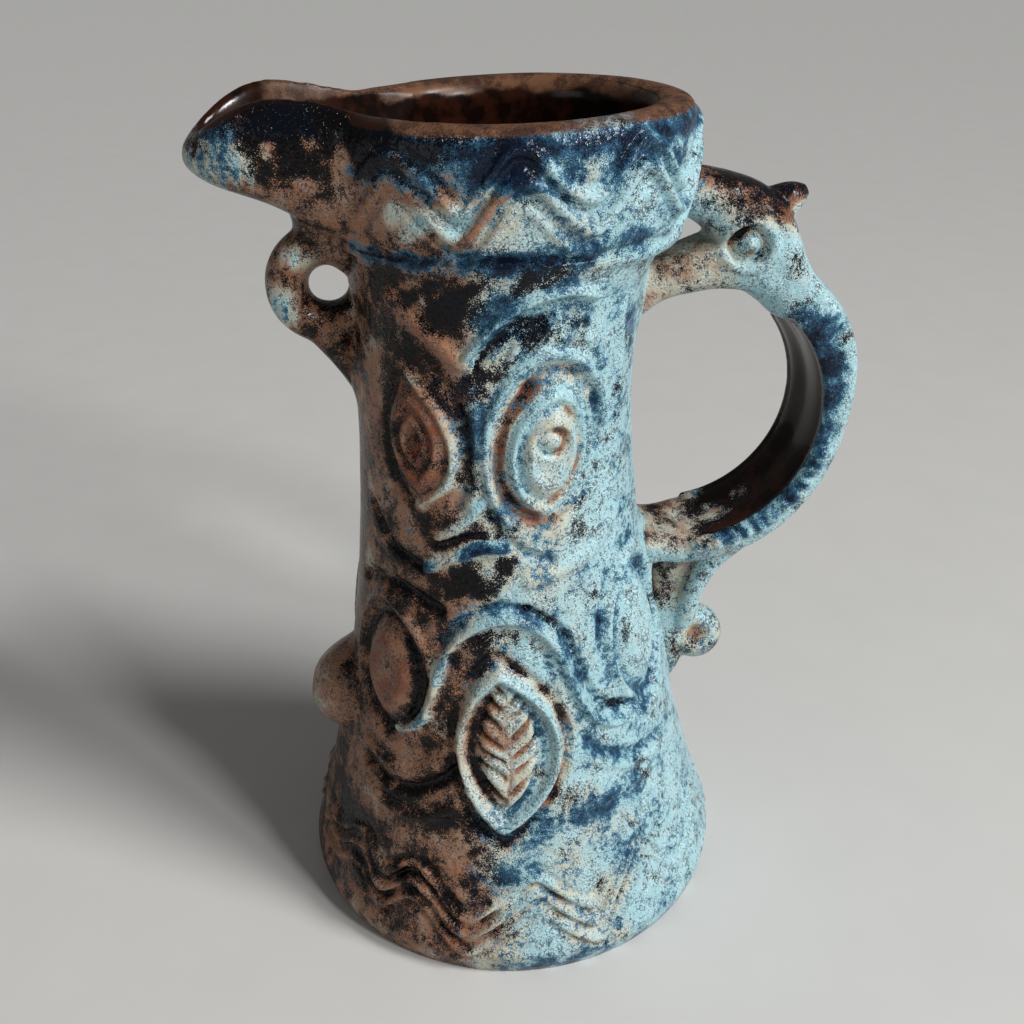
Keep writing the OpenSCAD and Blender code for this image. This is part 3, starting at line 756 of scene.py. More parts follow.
def ash_colour(r, tan_level, blot, dab):
    """Pale ash glaze: bluish where it is thick, cream, tan and burnt where thin, with bloom and specks. The
    tan and burnt tones also carry the painted shade and warm light of the spout side.
    """
    colour = r.mix(r.step(tan_level, 0.0, 0.42), ASH_BLUE, ASH_CREAM)
    colour = r.mix(r.step(tan_level, 0.38, 0.85), colour, THIN_TAN)
    colour = r.mix(r.step(tan_level, 0.85, 1.5), colour, BURNT_TAN)
    bloom = r.step(dab + blot * 0.6, -0.16, 0.2) * (0.6 - r.step(tan_level, 0.3, 0.8) * 0.5)
    colour = r.mix(bloom, colour, ASH_WHITE)
    fleck = r.step(r.noise(1.0, 2, 0.7) + blot * 0.5, 0.58, 0.64)
    speck = r.step(r.noise(0.45, 1, 0.6) + blot * 0.5 + dab * 0.3, 0.56, 0.63)
    speck = speck + fleck - speck * fleck
    return r.mix(speck * 0.72, colour, r.mix(r.step(tan_level, 0.2, 0.7), SPECK_BLUE, SPECK_BROWN))


def cobalt_colour(r, cobalt_level):
    """Cobalt glaze, from a thin grey blue to navy."""
    colour = r.mix(r.step(cobalt_level, 0.25, 0.70), COBALT_THIN, COBALT)
    return r.mix(r.step(cobalt_level, 0.70, 1.30), colour, COBALT_DEEP)


def iron_colour(r, iron_level, bluish):
    """Iron blots, brown at their borders and black within, bluer where they lie on cobalt."""
    border = r.mix(bluish, IRON_BROWN, IRON_BLUE)
    return r.mix(r.step(iron_level, 0.16, 0.6), border, r.mix(bluish, IRON_BLACK, IRON_NAVY))


def glaze_bump(r, dark, inside, crest):
    """The glaze's skin: fine waves and pits, fainter on the ridges and none inside."""
    skin = r.noise(1.6, 1, 0.5) * 0.8 + r.noise(0.55, 0) * 0.12 + r.noise(5, 2)
    pits = r.step(r.noise(0.9, 0), 0.62, 0.72)
    height = (skin - pits * 0.5 - dark * 0.06) * (1 - inside) * (1 - crest * 0.35)
    return r.node("ShaderNodeBump", {}, {"Strength": 0.6, "Distance": 0.75 * MM, "Height": height})


def mottled_glaze():
    """Pale ash glaze, cobalt and iron brown, sprayed over each other with stippled borders."""
    r = Recipe("mottled_glaze")
    patch = r.noise(12, 2, 0.5) - 0.5
    blot = r.noise(5.5, 3, 0.6) - 0.5
    cloud = r.noise(8, 3, 0.6) - 0.5
    dab = r.noise(2.0, 2, 0.6) - 0.5
    grain = r.noise(0.3, 1, 0.6) - 0.5
    relief = r.coat("relief")
    spray = grain * 2.4 + dab * 1.2
    iron_level = r.coat("dark") + patch * 2.2 + blot * 2.4 - relief * 0.10 + spray
    cobalt_level = r.coat("blue") + cloud * 2.0 + dab - relief * 0.07 + grain * 1.6
    tan_level = r.coat("tan") + cloud * 0.9 + patch * 0.8
    colour = r.mix(r.step(cobalt_level, 0.16, 0.42), ash_colour(r, tan_level, blot, dab),
                   cobalt_colour(r, cobalt_level))
    bluish = r.step(cobalt_level + relief * 0.04, -0.15, 0.35)
    dark = r.step(iron_level, -0.05, 0.15)
    colour = r.mix(dark, colour, iron_colour(r, iron_level, bluish))
    # The liner colours: the brown glaze inside the mouth and spout, and painted shade on the handle strap's
    # inner face.
    inside = r.step(r.coat("inside") + dab * 0.5 + grain * 0.3, 0.35, 0.65)
    colour = r.mix(inside, colour, r.mix(r.step(patch + blot, -0.1, 0.15), LINER_AND_SHADE_DARK, LINER_AND_SHADE_BROWN))
    rim = r.step(r.coat("rim") + dab * 0.5, 0.2, 0.8)
    clay = r.mix(r.step(r.noise(6, 4, 0.65) + grain * 0.4, 0.40, 0.62), RIM_CLAY, RIM_SHADE)
    colour = r.mix(rim, colour, clay)
    cobalt = r.step(cobalt_level, 0.2, 0.7)
    crest = r.step(relief, 0.7, 2.0)
    rough = 0.42 - dark * 0.20 - cobalt * (0.22 - crest * 0.08) - crest * 0.14 + grain * 0.08
    rough = rough * (1 - inside) + inside * 0.15 + rim * 0.2
    r.set(Base_Color=colour, Roughness=rough, IOR=1.29, Normal=glaze_bump(r, dark, inside, crest))
    return r.material


def bare_clay():
    """Unglazed stoneware under the foot, glazed brown on the inner floor."""
    r = Recipe("bare_clay")
    spot = r.noise(6, 4, 0.6)
    grit = r.step(r.noise(0.8, 1), 0.58, 0.66)
    clay = r.mix(r.step(spot, 0.4, 0.62), FOOT_CLAY, FOOT_SHADE)
    clay = r.mix(grit * 0.6, clay, FOOT_GRIT)
    inside = r.coat("inside")
    colour = r.mix(inside, clay, r.mix(r.step(spot, 0.4, 0.6), POOL_DARK, POOL_BROWN))
    height = r.noise(1.2, 3, 0.6) * (1 - inside)
    bump = r.node("ShaderNodeBump", {}, {"Strength": 0.5, "Distance": 0.4 * MM, "Height": height})
    r.set(Base_Color=colour, Roughness=0.82 - inside * 0.66 + grit * 0.06, Normal=bump)
    return r.material


# The base, the foot and the body

def make_base(clay):
    """The thrown floor of the jug: a shallow foot ring below, the glazed floor above."""
    edge = FOOT_R - FOOT_ROLL_IN - WALL_T + 1.0
    profile = [(0.01, 1.0), (edge - 14, 1.0), (edge - 10, 0.2), (edge - 6, 0.0), (edge, 0.0),
               (edge, FLOOR_TOP - 1.5), (edge - 6, FLOOR_TOP), (0.01, FLOOR_TOP)]
    obj = as_object(turned(profile, BASE_STEPS), "base")
    inside = ease(FLOOR_TOP - 2, FLOOR_TOP - 1, points_of(obj)[:, 2])
    finish_piece(obj, {"inside": inside}, clay, "bare_clay", "base_disc")


def make_walls(glaze):
    """The foot and the body, two stretches of one thrown wall."""
    foot, coats = thrown_wall("foot", 0.0, FOOT_TOP)
    finish_piece(foot, coats, glaze, "pale_glaze", "foot_wall", "foot_wave_front", "foot_wave_back")
    body, coats = thrown_wall("body", FOOT_TOP, COLLAR_Z + COLLAR_LAP)
    pairs = [f"{part}_{face}_{end}"
             for part in ("eye_medallion", "eye_boss", "oval_frame", "oval_boss", "brow")
             for face in ("front", "back")
             for end in ("spout", "handle")]
    singles = [f"{part}_{face}"
               for part in ("leaf_frame", "leaf", "arch_coil", "mouth_coil")
               for face in ("front", "back")]
    finish_piece(body, coats, glaze, "pale_glaze", "body_wall", "knob", *pairs, *singles)


# The spouted collar

# The spout's outside: X, Z, half width and half depth
BEAK = ((-14, 222.5, 34.0, 17.3), (-24, 222.8, 31.5, 18.2), (-30, 223.4, 28.0, 18.8),
        (-36, 224.6, 23.8, 18.8), (-42, 226.2, 20.8, 18.2), (-50, 228.8, 18.8, 16.0),
        (-57, 230.4, 17.6, 13.6), (-64, 230.2, 15.8, 10.6), (-70, 229.2, 12.6, 7.4),
        (-74.6, 228.6, 8.2, 4.3), (TIP_X - 0.6, 228.5, 3.2, 1.8))

# The spout's channel: X, half width and depth under CHANNEL_Z
CHANNEL = ((10, 30.0, 44.0), (-15, 28.0, 41.0), (-25, 25.0, 38.0), (-33, 20.6, 35.0), (-42, 15.9, 32.0),
           (-52, 13.6, 29.5), (-62, 11.2, 27.0), (-69, 7.8, 24.5), (-72.5, 4.2, 22.6))

# The lug's roots down the neck and up to the spout: X, Z, half width and half depth
LUG_FOOT = ((-51, 186, 6.5, 4.6), (-45.5, 179.5, 6.5, 5.0), (-41, 172, 5.5, 4.4), (-37.0, 160, 3.0, 2.0))
LUG_TOP = ((-47, 218, 9.0, 7.0), (-46, 210, 8.0, 6.0), (-42, 204, 7.5, 5.0), (-38, 198, 6.0, 3.0))

# The rise of the spout's far lip: X, and how much
FAR_LIP_RISE = ((-62, 2.4), (-50, 1.2), (-42, 0.4), (-34, 0.3), (-24, 0.0))

# Pale, tan and blue dabs on the spout and the lug: coat, amount, X, Z and half sizes
SPOUT_DABS = (
    ("dark", -1.5, -70, 230, 18, 14),
    ("tan", -0.7, -69, 230, 17, 13),
    ("blue", 0.85, -69, 229, 17, 13),
    ("dark", -1.7, -46, 234.5, 4, 5),
    ("dark", -1.7, -39, 229.5, 4.5, 7.5),
    ("dark", -1.4, -56, 232, 4, 4.5),
    ("dark", -1.3, -48, 223.5, 5, 4),
    ("dark", -1.0, -44, 217, 6, 5),
    ("dark", -0.9, -57, 190, 7, 10),
    ("blue", 0.7, -58, 188, 6, 9),
    ("tan", -0.8, -58, 190, 7, 10),
    ("dark", -1.0, -55, 204, 6, 6),
    ("tan", -0.5, -53, 203, 6, 5),
    ("dark", -0.7, -40, 207, 9, 6),
)


class CollarWall(Wall):
    """The collar, spout and lug unrolled round the collar's middle, with the way each vertex faces."""

    def __init__(self, obj):
        self.co = points_of(obj)
        self.normal = normals_of(obj)
        x = self.co[:, 0] - COLLAR_X
        y = self.co[:, 1]
        self.radius = np.hypot(x, y)
        self.azimuth = np.degrees(np.arctan2(y, x))
        self.out = (self.normal[:, 0] * x + self.normal[:, 1] * y) / np.maximum(self.radius, 1)
        super().__init__(self.azimuth, self.co[:, 2], self.radius)


def collar_ring():
    """The thick collar with its rounded rim, turned and then pressed slightly oval."""
    outline = smooth_path([(41.0, COLLAR_LOW), (43.2, 203.8), (44.4, 206.0), (45.2, 210), (46.4, 216),
                           (COLLAR_R, 224), (47.2, 230), (46.9, 234.2), (45.7, RIM_TOP - 1.6),
                           (43.4, RIM_TOP - 0.3), (40.0, RIM_TOP), (37.2, RIM_TOP - 0.9), (35.6, 236),
                           (MOUTH_R, 232), (MOUTH_R, 222), (35.4, 212), (36.4, COLLAR_LOW)], ROLL_STEP)
    ring = as_object(turned(outline, COLLAR_STEPS, COLLAR_X), "ring")
    co = points_of(ring)
    co[:, 0] = COLLAR_X + (co[:, 0] - COLLAR_X) * OVAL_LONG
    co[:, 1] *= OVAL_SHORT
    move_points(ring, co)
    return ring


def mouth_plug():
    """The cutter that keeps the mouth open where the spout runs into it."""
    bm = bmesh.new()
    bmesh.ops.create_cone(bm, cap_ends=True, segments=96, radius1=MOUTH_R, radius2=MOUTH_R, depth=PLUG_H,
                          matrix=Matrix.Translation((COLLAR_X, 0, PLUG_Z)))
    return as_object(bm, "plug")


def pierced_lug():
    """The loop under the spout, thicker on its outer side, with a root below and above."""
    bm = bmesh.new()
    turn = np.linspace(0, 2 * math.pi, 25)
    thick = 5.3 + 0.4 * np.maximum(0, -np.cos(turn))
    hole_x = LUG_X + LUG_HOLE_SHIFT
    limb(bm, [(hole_x + (LUG_HOLE_R + d) * math.cos(t), LUG_Z + (LUG_HOLE_R + d) * math.sin(t), LUG_HALF, d)
              for t, d in zip(turn, thick)], sides=28)
    limb(bm, LUG_FOOT)
    limb(bm, LUG_TOP)
    return as_object(bm, "lug")


def collar_skin():
    """The collar, spout and lug as one skin, softened most where the spout and lug join."""
    ring = collar_ring()
    beak = rolled("beak", BEAK, sides=48, square=3.2, upright=True)
    channel = rolled("channel", [(x, CHANNEL_Z, wide, deep) for x, wide, deep in CHANNEL],
                     sides=48, square=2.6, upright=True)
    plug = mouth_plug()
    carve(ring, [channel])
    carve(beak, [channel, plug])
    for tool in (channel, plug):
        bpy.data.objects.remove(tool)
    obj = fuse([ring, beak, pierced_lug()], "spouted_collar", SKIN_VOXEL)
    soften(obj, 4)
    x, y, z = points_of(obj).T
    joint = (x < -18) & (z > 214)
    joint |= (x < -24) & (np.hypot(x - COLLAR_X, y) > 41)
    soften(obj, 22, joint)
    return obj


def lift_lip(obj):
    """Raises the lip of the spout, most on the far side towards the tip."""
    co = points_of(obj)
    x, y, z = co.T
    far_rise = np.interp(x, *zip(*FAR_LIP_RISE))
    near_rise = NEAR_LIP_RISE * ease(-22, -36, x)
    far_share = ease(-6, 8, y)
    co[:, 2] += ease(226, 238, z) * (far_rise * far_share + near_rise * (1 - far_share))
    move_points(obj, co)


def press_collar(wall):
    """The waves on the collar, blue above and pale below, and the groove at its foot."""
    wave = [(-150, 216), (-143, 222), (-137, 226), (-131, 225), (-124, 219.5), (-118, 215), (-113, 213.5),
            (-110, 216), (-105, 220.5), (-100, 225), (-95, 227), (-90, 225.5), (-84, 221), (-78, 216.5),
            (-72, 214.5), (-66, 219), (-60, 225), (-55, 228), (-49, 225.5), (-42, 219), (-34, 214.5),
            (-26, 218), (-18, 224), (-10, 227), (0, 228)]
    wall.line(wave, 2.4, 1.6, dark=-0.2)
    wall.line([(-112, 213.5), (-106, 219.5), (-101, 224), (-95, 226.8)], 1.6, 0.2, dark=0.5, tan=1.2)
    for lift, height, blue in ((3.6, -1.0, 0.25), (6.8, 1.1, -0.1), (10.0, -0.7, 0.3), (-3.6, -0.8, 0.15),
                               (-6.8, 0.8, 0.0)):
        wall.line([(a, z + lift + 0.8 * math.sin(a / 4.1)) for a, z in wave], 2.1, height, blue=blue)
    wall.relief *= 1 - 0.65 * ease(-118, -130, wall.a)
    wall.relief -= 0.9 * bell((wall.z - 208.0) / 2.6)


def spout_share(x):
    """0 on the round collar, 1 on the spout."""
    return ease(-22, -32, x)


def paint_rim(wall):
    """Cobalt under the rim, iron and cobalt on the near lip of the spout, and the spout's dabs."""
    x, _, z = wall.co.T
    spout = spout_share(x)
    under_rim = bell((z - RIM_TOP + 4.0) / 4.5) * ease(0.1, 0.5, wall.out) * (1 - spout)
    left = ease(-80, -105, wall.a)
    wall.coats["dark"] += (0.1 + 0.25 * left) * under_rim
    wall.coats["blue"] += (0.6 + 0.3 * left) * under_rim
    near_lip = ease(RIM_TOP - 6.5, RIM_TOP - 3, z) * spout
    wall.coats["dark"] += near_lip * ease(-66, -56, x)
    wall.coats["blue"] += 0.7 * near_lip * ease(-36, -48, x)
    for coat, amount, x_at, z_at, half_x, half_z in SPOUT_DABS:
        wall.paint(bell(np.hypot((x - x_at) / half_x, (z - z_at) / half_z)), **{coat: amount})


def line_collar(wall):
    """Where the collar has the brown gloss of the inside, and where its rim is bare clay."""
    x, y, z = wall.co.T
    up = wall.normal[:, 2]
    sideways = wall.normal[:, 1] * np.sign(y)
    spout = spout_share(x)
    far_side = ease(2, 8, y)
    glossy_lip = far_side * ease(-50, -62, x) + (1 - far_side) * spout
    at_rim = ease(RIM_Z - 5.5, RIM_Z - 3.5, z)
    crest = at_rim * ease(0.3, 0.85, up)
    facing = ease(0.35, 0.05, wall.out) * (wall.radius < MOUTH_R + 5.5)
    trough = (x < -20) & (z > np.where(x > -38, 206, 216)) & (np.abs(y) < 27)
    trough &= (up > -0.2) & (wall.out < 0.3) & (sideways < 0.6)
    open_rim = crest * ease(MOUTH_R + 1.5, MOUTH_R + 4.0, wall.radius)
    lip = crest * glossy_lip * ease(0.8, 0.5, sideways)
    inside = facing * (1 - spout) * (1 - open_rim)
    inside += spout * np.maximum(trough * (1 - crest * (1 - glossy_lip)), lip)
    brown_edge = RIM_TOP - 3.4 + 0.6 * np.sin(wall.azimuth / 6) + 0.3 * np.sin(wall.azimuth / 2.3)
    unglazed = facing * (1 - ease(2.2, -2.2, z - brown_edge))
    bare = np.maximum(at_rim * (wall.radius < MOUTH_R + 8) * (1 - facing), unglazed) * (1 - spout)
    bare = np.maximum(bare, far_side * spout * trough * ease(RIM_TOP - 2.5, RIM_TOP + 1, z))
    rim = np.maximum(crest, bare) * (1 - glossy_lip) * (1 - 0.45 * bell((wall.azimuth + 66) / 30))
    return np.clip(inside, 0, 1), rim


def make_collar(glaze):
    """The collar with its beaked spout and the pierced lug below it, drawn out of one piece of clay."""
    obj = collar_skin()
    lift_lip(obj)
    wall = CollarWall(obj)
    base_coats(wall)
    press_collar(wall)
    z = wall.co[:, 2]
    skin = ease(0.1, 0.5, wall.out) * ease(RIM_Z - 2, RIM_Z - 7, z) * ease(204, 206, z)
    relief = wall.relief * skin * ease(-172, -150, wall.a)
    wall.co += wall.normal * (relief + 0.5 * hand_marks(wall.azimuth, z))[:, None]
    move_points(obj, wall.co)
    inside, rim = line_collar(wall)
    paint_rim(wall)
    coats = dict(wall.coats, relief=relief, inside=inside, rim=rim)
    finish_piece(obj, coats, glaze, "blue_glaze", "collar", "spout", "ring_lug", "collar_wave_front",
                 "collar_wave_back")


# The beast handle

# The strap's outer edge: angle round the middle of the gap, and distance from it
STRAP_OUTER = ((-92, 48.2), (-70, 48.4), (-56, 48.4), (-40, 47.6), (-17, 47.0), (1, 47.8), (17, 50.2),
               (31, 51.4), (43, 51.0), (58, 51.6))

# The beast's clay rolls: X, Z, half width and half depth
STRAP_ROOT = ((47, 109.0, 12.8, 5.2), (40, 109.4, 12.8, 6.4))
UPPER_JAW = ((44, 214.0, 9.0, 6.4), (52, 212.8, 9.4, 6.6), (60, 209.6, 10.6, 8.2), (67, 205.0, 11.8, 10.2),
             (73, 199.8, 12.2, 9.4), (78.4, 192.4, 12.4, 6.8), (83, 184, 12.8, 6.2))
LOWER_JAW = ((35, 186.2, 10.0, 7.4), (43, 189.2, 9.6, 5.4), (51, 191.6, 9.8, 6.2), (60, 193.4, 10.8, 7.2),
             (70, 193.0, 11.8, 8.4), (77, 188.5, 12.0, 8.4), (83, 181, 12.4, 7.0))
HORN = ((73, 204.6, 6.0, 6.6), (78, 207.8, 5.2, 5.2), (82, 209.8, 4.2, 3.8), (85.2, 211.0, 1.8, 1.6))
TAIL = ((78, 113.0, 10.5, 3.8), (70, 107.2, 9.8, 4.0), (63.4, 101.0, 9.0, 4.0), (59.2, 94, 8.6, 3.9),
        (56.6, 86, 8.5, 3.8), (55, 78, 8.5, 4.0))
TAIL_WEB = ((57, 107, 2.6, 10.0), (54.5, 99, 2.4, 9.0), (52.5, 91, 3.0, 7.2), (51.5, 83, 4.8, 5.8),
            (51, 74, 6.8, 6.6), (51.5, 65, 6.0, 5.0), (49.5, 57, 4.0, 3.0))

# The beast's coats before anything is painted on it
BEAST_GROUND = {"dark": -0.45, "blue": 0.0, "tan": 0.06, "relief": 0.0, "inside": 0.0}


class Hide:
    """The beast's skin: where each vertex is and faces, how far from the eye and the gap, and its coats."""

    def __init__(self, obj):
        self.co = points_of(obj)
        self.normal = normals_of(obj)
        x, _, z = self.co.T
        self.from_eye = np.hypot(x - EYE_X, (z - EYE_Z) * 1.05)
        self.from_gap = np.hypot(x - GAP_X, z - GAP_Z)
        self.around = np.degrees(np.arctan2(z - GAP_Z, x - GAP_X))
        self.coats = {name: np.full(len(x), level) for name, level in BEAST_GROUND.items()}

    def paint(self, mask, **coats):
        """Adds coats where a mask is."""
        for name, amount in coats.items():
            self.coats[name] += amount * mask


def round_gap(degrees, radius):
    """X and Z at an angle round the middle of the handle's gap."""
    angle = math.radians(degrees)
    return GAP_X + radius * math.cos(angle), GAP_Z + radius * math.sin(angle)


def strap_stations():
    """The strap from the head round the gap to its root on the body."""
    stations = []
    for degrees in np.linspace(58, -92, 16):
        outer = np.interp(degrees, *zip(*STRAP_OUTER))
        stations.append((*round_gap(degrees, (outer + GAP_R) / 2), STRAP_HALF, (outer - GAP_R) / 2))
    return stations + list(STRAP_ROOT)


def strap_ridge(side):
    """The thin ridge along one edge of the strap's inner face."""
    bm = bmesh.new()
    limb(bm, [(*round_gap(degrees, RIDGE_R), 1.9, 1.9) for degrees in np.linspace(44, -84, 30)], sides=12)
    bmesh.ops.translate(bm, verts=bm.verts, vec=(0, side * 11.6, 0))
    return as_object(bm, "ridge")


def add_beads(bm):
    """The row of small lumps along the strap's near edge, and the longer one at its root."""
    for i, degrees in enumerate(np.arange(-78, -16, BEAD_TURN)):
        x, z = round_gap(degrees, BEAD_R)
        size = 2.8 + 0.5 * math.sin(2.3 * i)
        ball(bm, (x, -12.9, z), (size, 2.8, size))
    ball(bm, (GAP_X + 3.5, -12.4, GAP_Z - BEAD_R), (4.6, 2.4, 2.6))


def beast_skin():
    """All the beast's lumps as one skin, softened most where jaws, head, horn and tail join."""
    bm = bmesh.new()
    limb(bm, strap_stations(), sides=48, square=3.4)
    limb(bm, UPPER_JAW, square=2.6)
    limb(bm, LOWER_JAW, square=2.8)
    limb(bm, HORN, square=2.2)
    limb(bm, TAIL, square=2.6)
    limb(bm, TAIL_WEB)
    ball(bm, CURL_AT, (8.9, 8.5, 8.9))
    add_beads(bm)
    lumps = [as_object(bm, "lumps"), strap_ridge(-1), strap_ridge(1)]
    obj = fuse(lumps, "beast_handle", BEAST_VOXEL)
    soften(obj, 5)
    x, _, z = points_of(obj).T
    junction = ((x < 56) & (z > 196)) | ((z < 108) & (z > 82))
    junction |= (np.hypot(x - 79, z - 190) < 16) | (np.hypot(x - 62, z - 203) < 6)
    soften(obj, 14, junction)
    return obj


def press_beast(hide):
    """Presses the eyes into both sides of the head, and a dimple into the curl of the tail."""
    x, y, z = hide.co.T
    far = hide.from_eye
    socket = 1.3 * bell((far - 6.8) / 2.8) - 1.5 * bell((far - 4.3) / 2.0) + 2.0 * bell(far / 3.3)
    socket *= far < 10
    brow = 1.3 * bell((np.hypot(x - EYE_X, z - EYE_Z) - 10.5) / 2.8) * ease(EYE_Z, EYE_Z + 5, z)
    dimple = 3.2 * bell(np.hypot(x - DIMPLE_X, z - DIMPLE_Z) / 6.2)
    side = ease(0.3, 0.7, np.abs(hide.normal[:, 1])) * np.sign(y)
    hide.co[:, 1] += side * (socket + brow - dimple)
    hide.paint(socket, relief=1.0)
    hide.paint(dimple, dark=0.12, tan=0.22)


def thicken_strap(hide):
    """Draws the far half of the strap's inner face in towards the gap."""
    x, y, _ = hide.co.T
    inward = 2.3 * ease(0, 11, y) * ease(GAP_R + 6, GAP_R + 2, hide.from_gap)
    inward *= ease(48, 34, hide.around) * ease(44, 56, x)
    hide.co[:, [0, 2]] -= (inward / hide.from_gap)[:, None] * (hide.co[:, [0, 2]] - (GAP_X, GAP_Z))


def coat_strap(hide):
    """Dark brown gloss on the strap's inner face, partly its glaze and partly painted shade in the liner's
    near-black; cobalt on its near edge, pale beads, tan where it roots.
    """
    x, y, z = hide.co.T
    above = hide.from_gap - GAP_R
    around = hide.around
    inner = ease(3.5, 1.2, above) * ease(12.2, 10.5, -y) * ease(50, 34, around)
    inner *= ease(-97, -66, around + 4 * np.sin(y / 2.3)) * ease(48, 62, x)
    bare = bell(np.hypot((around + 73) * 0.66, y + 2) / 8)
    bare += bell(np.hypot((around + 58) * 0.66, y - 1) / 5.5)
    # The inner face: dark cobalt and iron glaze, deepened to near black with the liner colour as painted
    # shade, with tan patches left.
    hide.paint(inner, dark=1.5, blue=0.7, tan=0.3)
    hide.paint(inner * bare, dark=-1.4, blue=-0.7, tan=0.6)
    hide.paint(inner * np.clip(1 - 1.5 * bare, 0, 1), inside=0.85)
    near_edge = ease(8.5, 11.0, -y)
    upper = ease(-8, 24, around)
    edge = near_edge * bell((above - 1.8 - 1.2 * upper) / (4.5 + 4.0 * upper)) * (1 + 0.8 * upper)
    edge *= ease(54, 42, around) * ease(50, 62, x)
    edge *= 0.9 + 0.25 * np.sin(around / 2.4)
    hide.paint(edge, blue=0.75)
    hide.paint(edge * upper, dark=0.25)
    bead_row = near_edge * bell((above - 3.0) / 4.5) * ease(-86, -78, around) * ease(-10, -22, around)
    bead = bell(2 * (((around + 80.9 + 1.8 * np.sin(around / 4.7)) / BEAD_TURN) % 1) - 1)
    hide.paint(bead_row, blue=0.2)
    hide.paint(bead_row * bead, blue=-0.45, relief=0.9)
    root = ease(-74, -84, around) * ease(6, 2, above) * ease(124, 116, z)
    hide.paint(root, dark=0.3, blue=-0.4, tan=0.5)


def coat_head(hide):
    """Dark and tan over the crown, the horn and the jaws, and iron that ran into the eyes."""
    x, _, z = hide.co.T
    up = hide.normal[:, 2]
    top = ease(-0.2, 0.8, up) * ease(197, 211, z)
    crown = ease(199, 210, z) * ease(50, 62, x)
    horn = ease(71, 77, x) * ease(203, 207, z) * ease(-0.4, 0.3, up)
    jaw = ease(66, 54, x) * ease(206, 198, z) * ease(175, 185, z)
    upper_left = ease(2, -3, x - EYE_X) * ease(-3, 2, z - EYE_Z)
    hollow = bell((hide.from_eye - 4.3) / 2.4) * (np.abs(hide.normal[:, 1]) > 0.2)
    hollow *= 0.2 + 0.8 * upper_left
    spot = bell(np.hypot(x - EYE_X - 0.5, z - EYE_Z + 1.8) / 2.0)
    hide.paint(top, dark=0.6, tan=0.8)
    hide.paint(crown, dark=0.32, blue=0.1, tan=0.3)
    hide.paint(horn, dark=-0.1, tan=0.5)
    hide.paint(jaw, blue=-0.35, tan=0.48)
    hide.paint(hollow, dark=0.7, blue=0.3, tan=0.9)
    hide.paint(spot, dark=0.3, tan=0.9)


def coat_tail(hide):
    """A little iron and tan on the tail, and more dark and tan on the web behind it as painted shade in that
    recess.
    """
    x, y, z = hide.co.T
    web = ease(62, 57, x) * ease(7.5, 5.0, np.abs(y)) * ease(80, 90, z) * ease(108, 103, z)
    hide.paint(ease(104, 98, z), dark=0.14, tan=0.12)
    # Painted shade: the recessed web between tail and body is darkened with dark and tan.
    hide.paint(web, dark=0.3, tan=0.45)


def make_beast(glaze):
    """The handle: a beast whose jaws grip the collar and neck, with its tail curled on the body."""
    obj = beast_skin()
    hide = Hide(obj)
    press_beast(hide)
    thicken_strap(hide)
    move_points(obj, hide.co)
    coat_strap(hide)
    coat_head(hide)
    coat_tail(hide)
    finish_piece(obj, hide.coats, glaze, "pale_glaze", "handle_strap", "beast_head", "lower_jaw", "horn",
                 "eye_ring_front", "eye_ring_back", "eye_pellet_front", "eye_pellet_back", "tail_strap",
                 "tail_scroll")


# Camera, floor and light

CAMERA_AT = (-41.2, -309.8, 286.0)
CAMERA_TILT, CAMERA_YAW, CAMERA_ROLL = 27.85, 8.0, -1.5
CAMERA_LENS, CAMERA_SENSOR = 41.84, 36


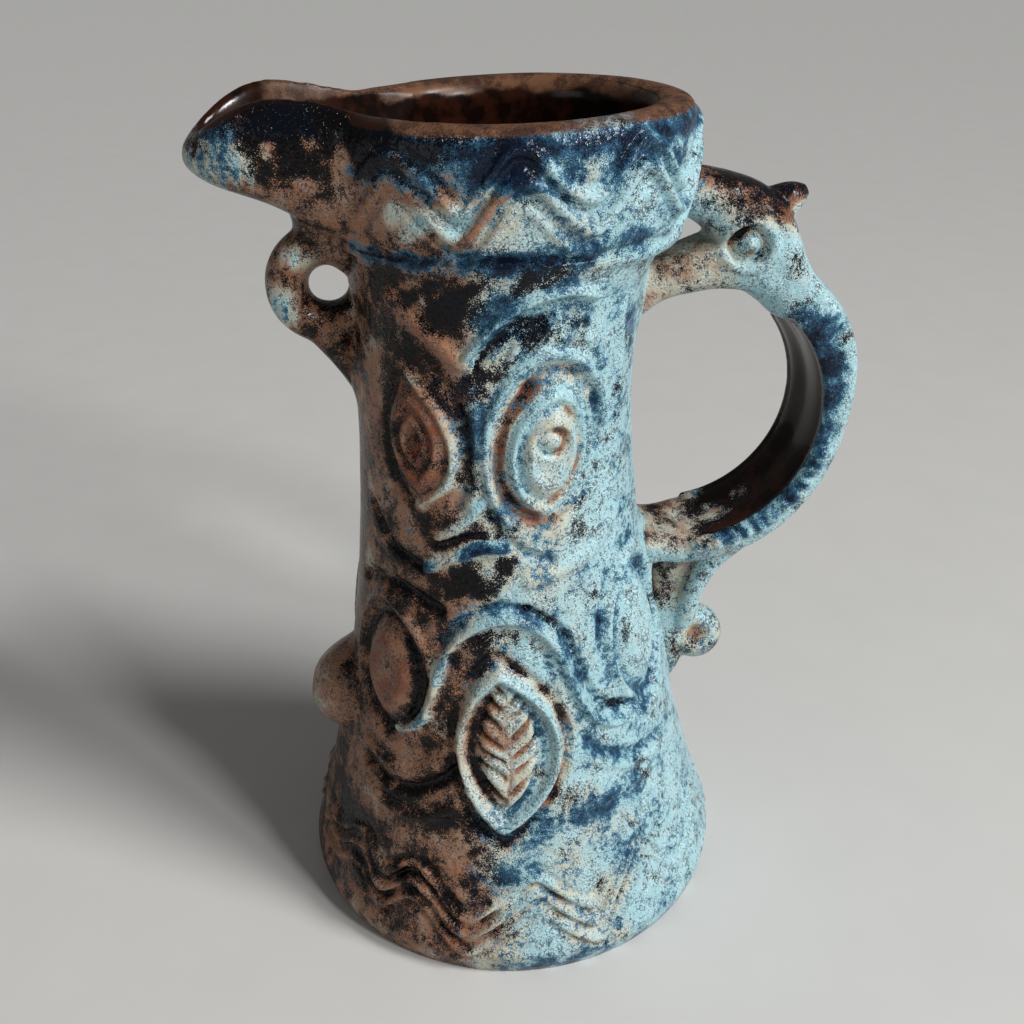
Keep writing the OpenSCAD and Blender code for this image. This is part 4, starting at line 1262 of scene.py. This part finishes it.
def set_camera():
    """The photograph's view: from the front, a little above, rolled a touch."""
    tilt, yaw, roll = (math.radians(angle) for angle in (CAMERA_TILT, CAMERA_YAW, CAMERA_ROLL))
    ahead = Vector((math.cos(tilt) * math.sin(yaw), math.cos(tilt) * math.cos(yaw), -math.sin(tilt)))
    right = Vector((math.cos(yaw), -math.sin(yaw), 0))
    up = right.cross(ahead)
    across = math.cos(roll) * right + math.sin(roll) * up
    over = math.cos(roll) * up - math.sin(roll) * right
    camera = bpy.data.objects.new("camera", bpy.data.cameras.new("camera"))
    camera.data.lens = CAMERA_LENS
    camera.data.sensor_width = CAMERA_SENSOR
    camera.data.clip_start = 0.01
    turn = Matrix((across, over, -ahead)).transposed().to_4x4()
    camera.matrix_world = Matrix.Translation(Vector(CAMERA_AT) * MM) @ turn
    bpy.context.scene.collection.objects.link(camera)
    bpy.context.scene.camera = camera


def lay_floor():
    """A plain pale floor under the jug."""
    bm = bmesh.new()
    bmesh.ops.create_grid(bm, x_segments=1, y_segments=1, size=8.0)
    floor = as_object(bm, "floor")
    r = Recipe("pale_floor")
    r.set(Base_Color=r.mix(r.noise(30, 2), STAGE_GREY, STAGE_PALE), Roughness=0.9)
    floor.data.materials.append(r.material)


def hang_lamp(name, at, aim, size, power):
    """A square soft lamp aimed at a point."""
    lamp = bpy.data.objects.new(name, bpy.data.lights.new(name, "AREA"))
    lamp.data.size = size
    lamp.data.energy = power
    lamp.location = at
    lamp.rotation_euler = (Vector(aim) - Vector(at)).to_track_quat("-Z", "Y").to_euler()
    bpy.context.scene.collection.objects.link(lamp)


def light_studio():
    """Soft daylight from the handle side, a window lamp for the gloss, a weak fill and an even grey sky."""
    sun = bpy.data.objects.new("daylight", bpy.data.lights.new("daylight", "SUN"))
    sun.data.energy = 2.35
    sun.data.angle = math.radians(16)
    sun.rotation_euler = Vector((-0.75, 0.45, -0.75)).to_track_quat("-Z", "Y").to_euler()
    bpy.context.scene.collection.objects.link(sun)
    hang_lamp("window", at=(0.55, -0.75, 0.65), aim=(0, 0, 0.14), size=0.13, power=5.0)
    hang_lamp("fill", at=(-0.9, -0.6, 0.4), aim=(0, 0, 0.12), size=0.5, power=0.7)
    world = bpy.data.worlds.new("studio")
    world.use_nodes = True
    sky = world.node_tree.nodes["Background"]
    sky.inputs["Color"].default_value = (0.80, 0.80, 0.80, 1)
    sky.inputs["Strength"].default_value = 0.15
    bpy.context.scene.world = world
    bpy.context.scene.view_settings.view_transform = "Standard"


glaze = mottled_glaze()
make_base(bare_clay())
make_walls(glaze)
make_collar(glaze)
make_beast(glaze)
set_camera()
lay_floor()
light_studio()
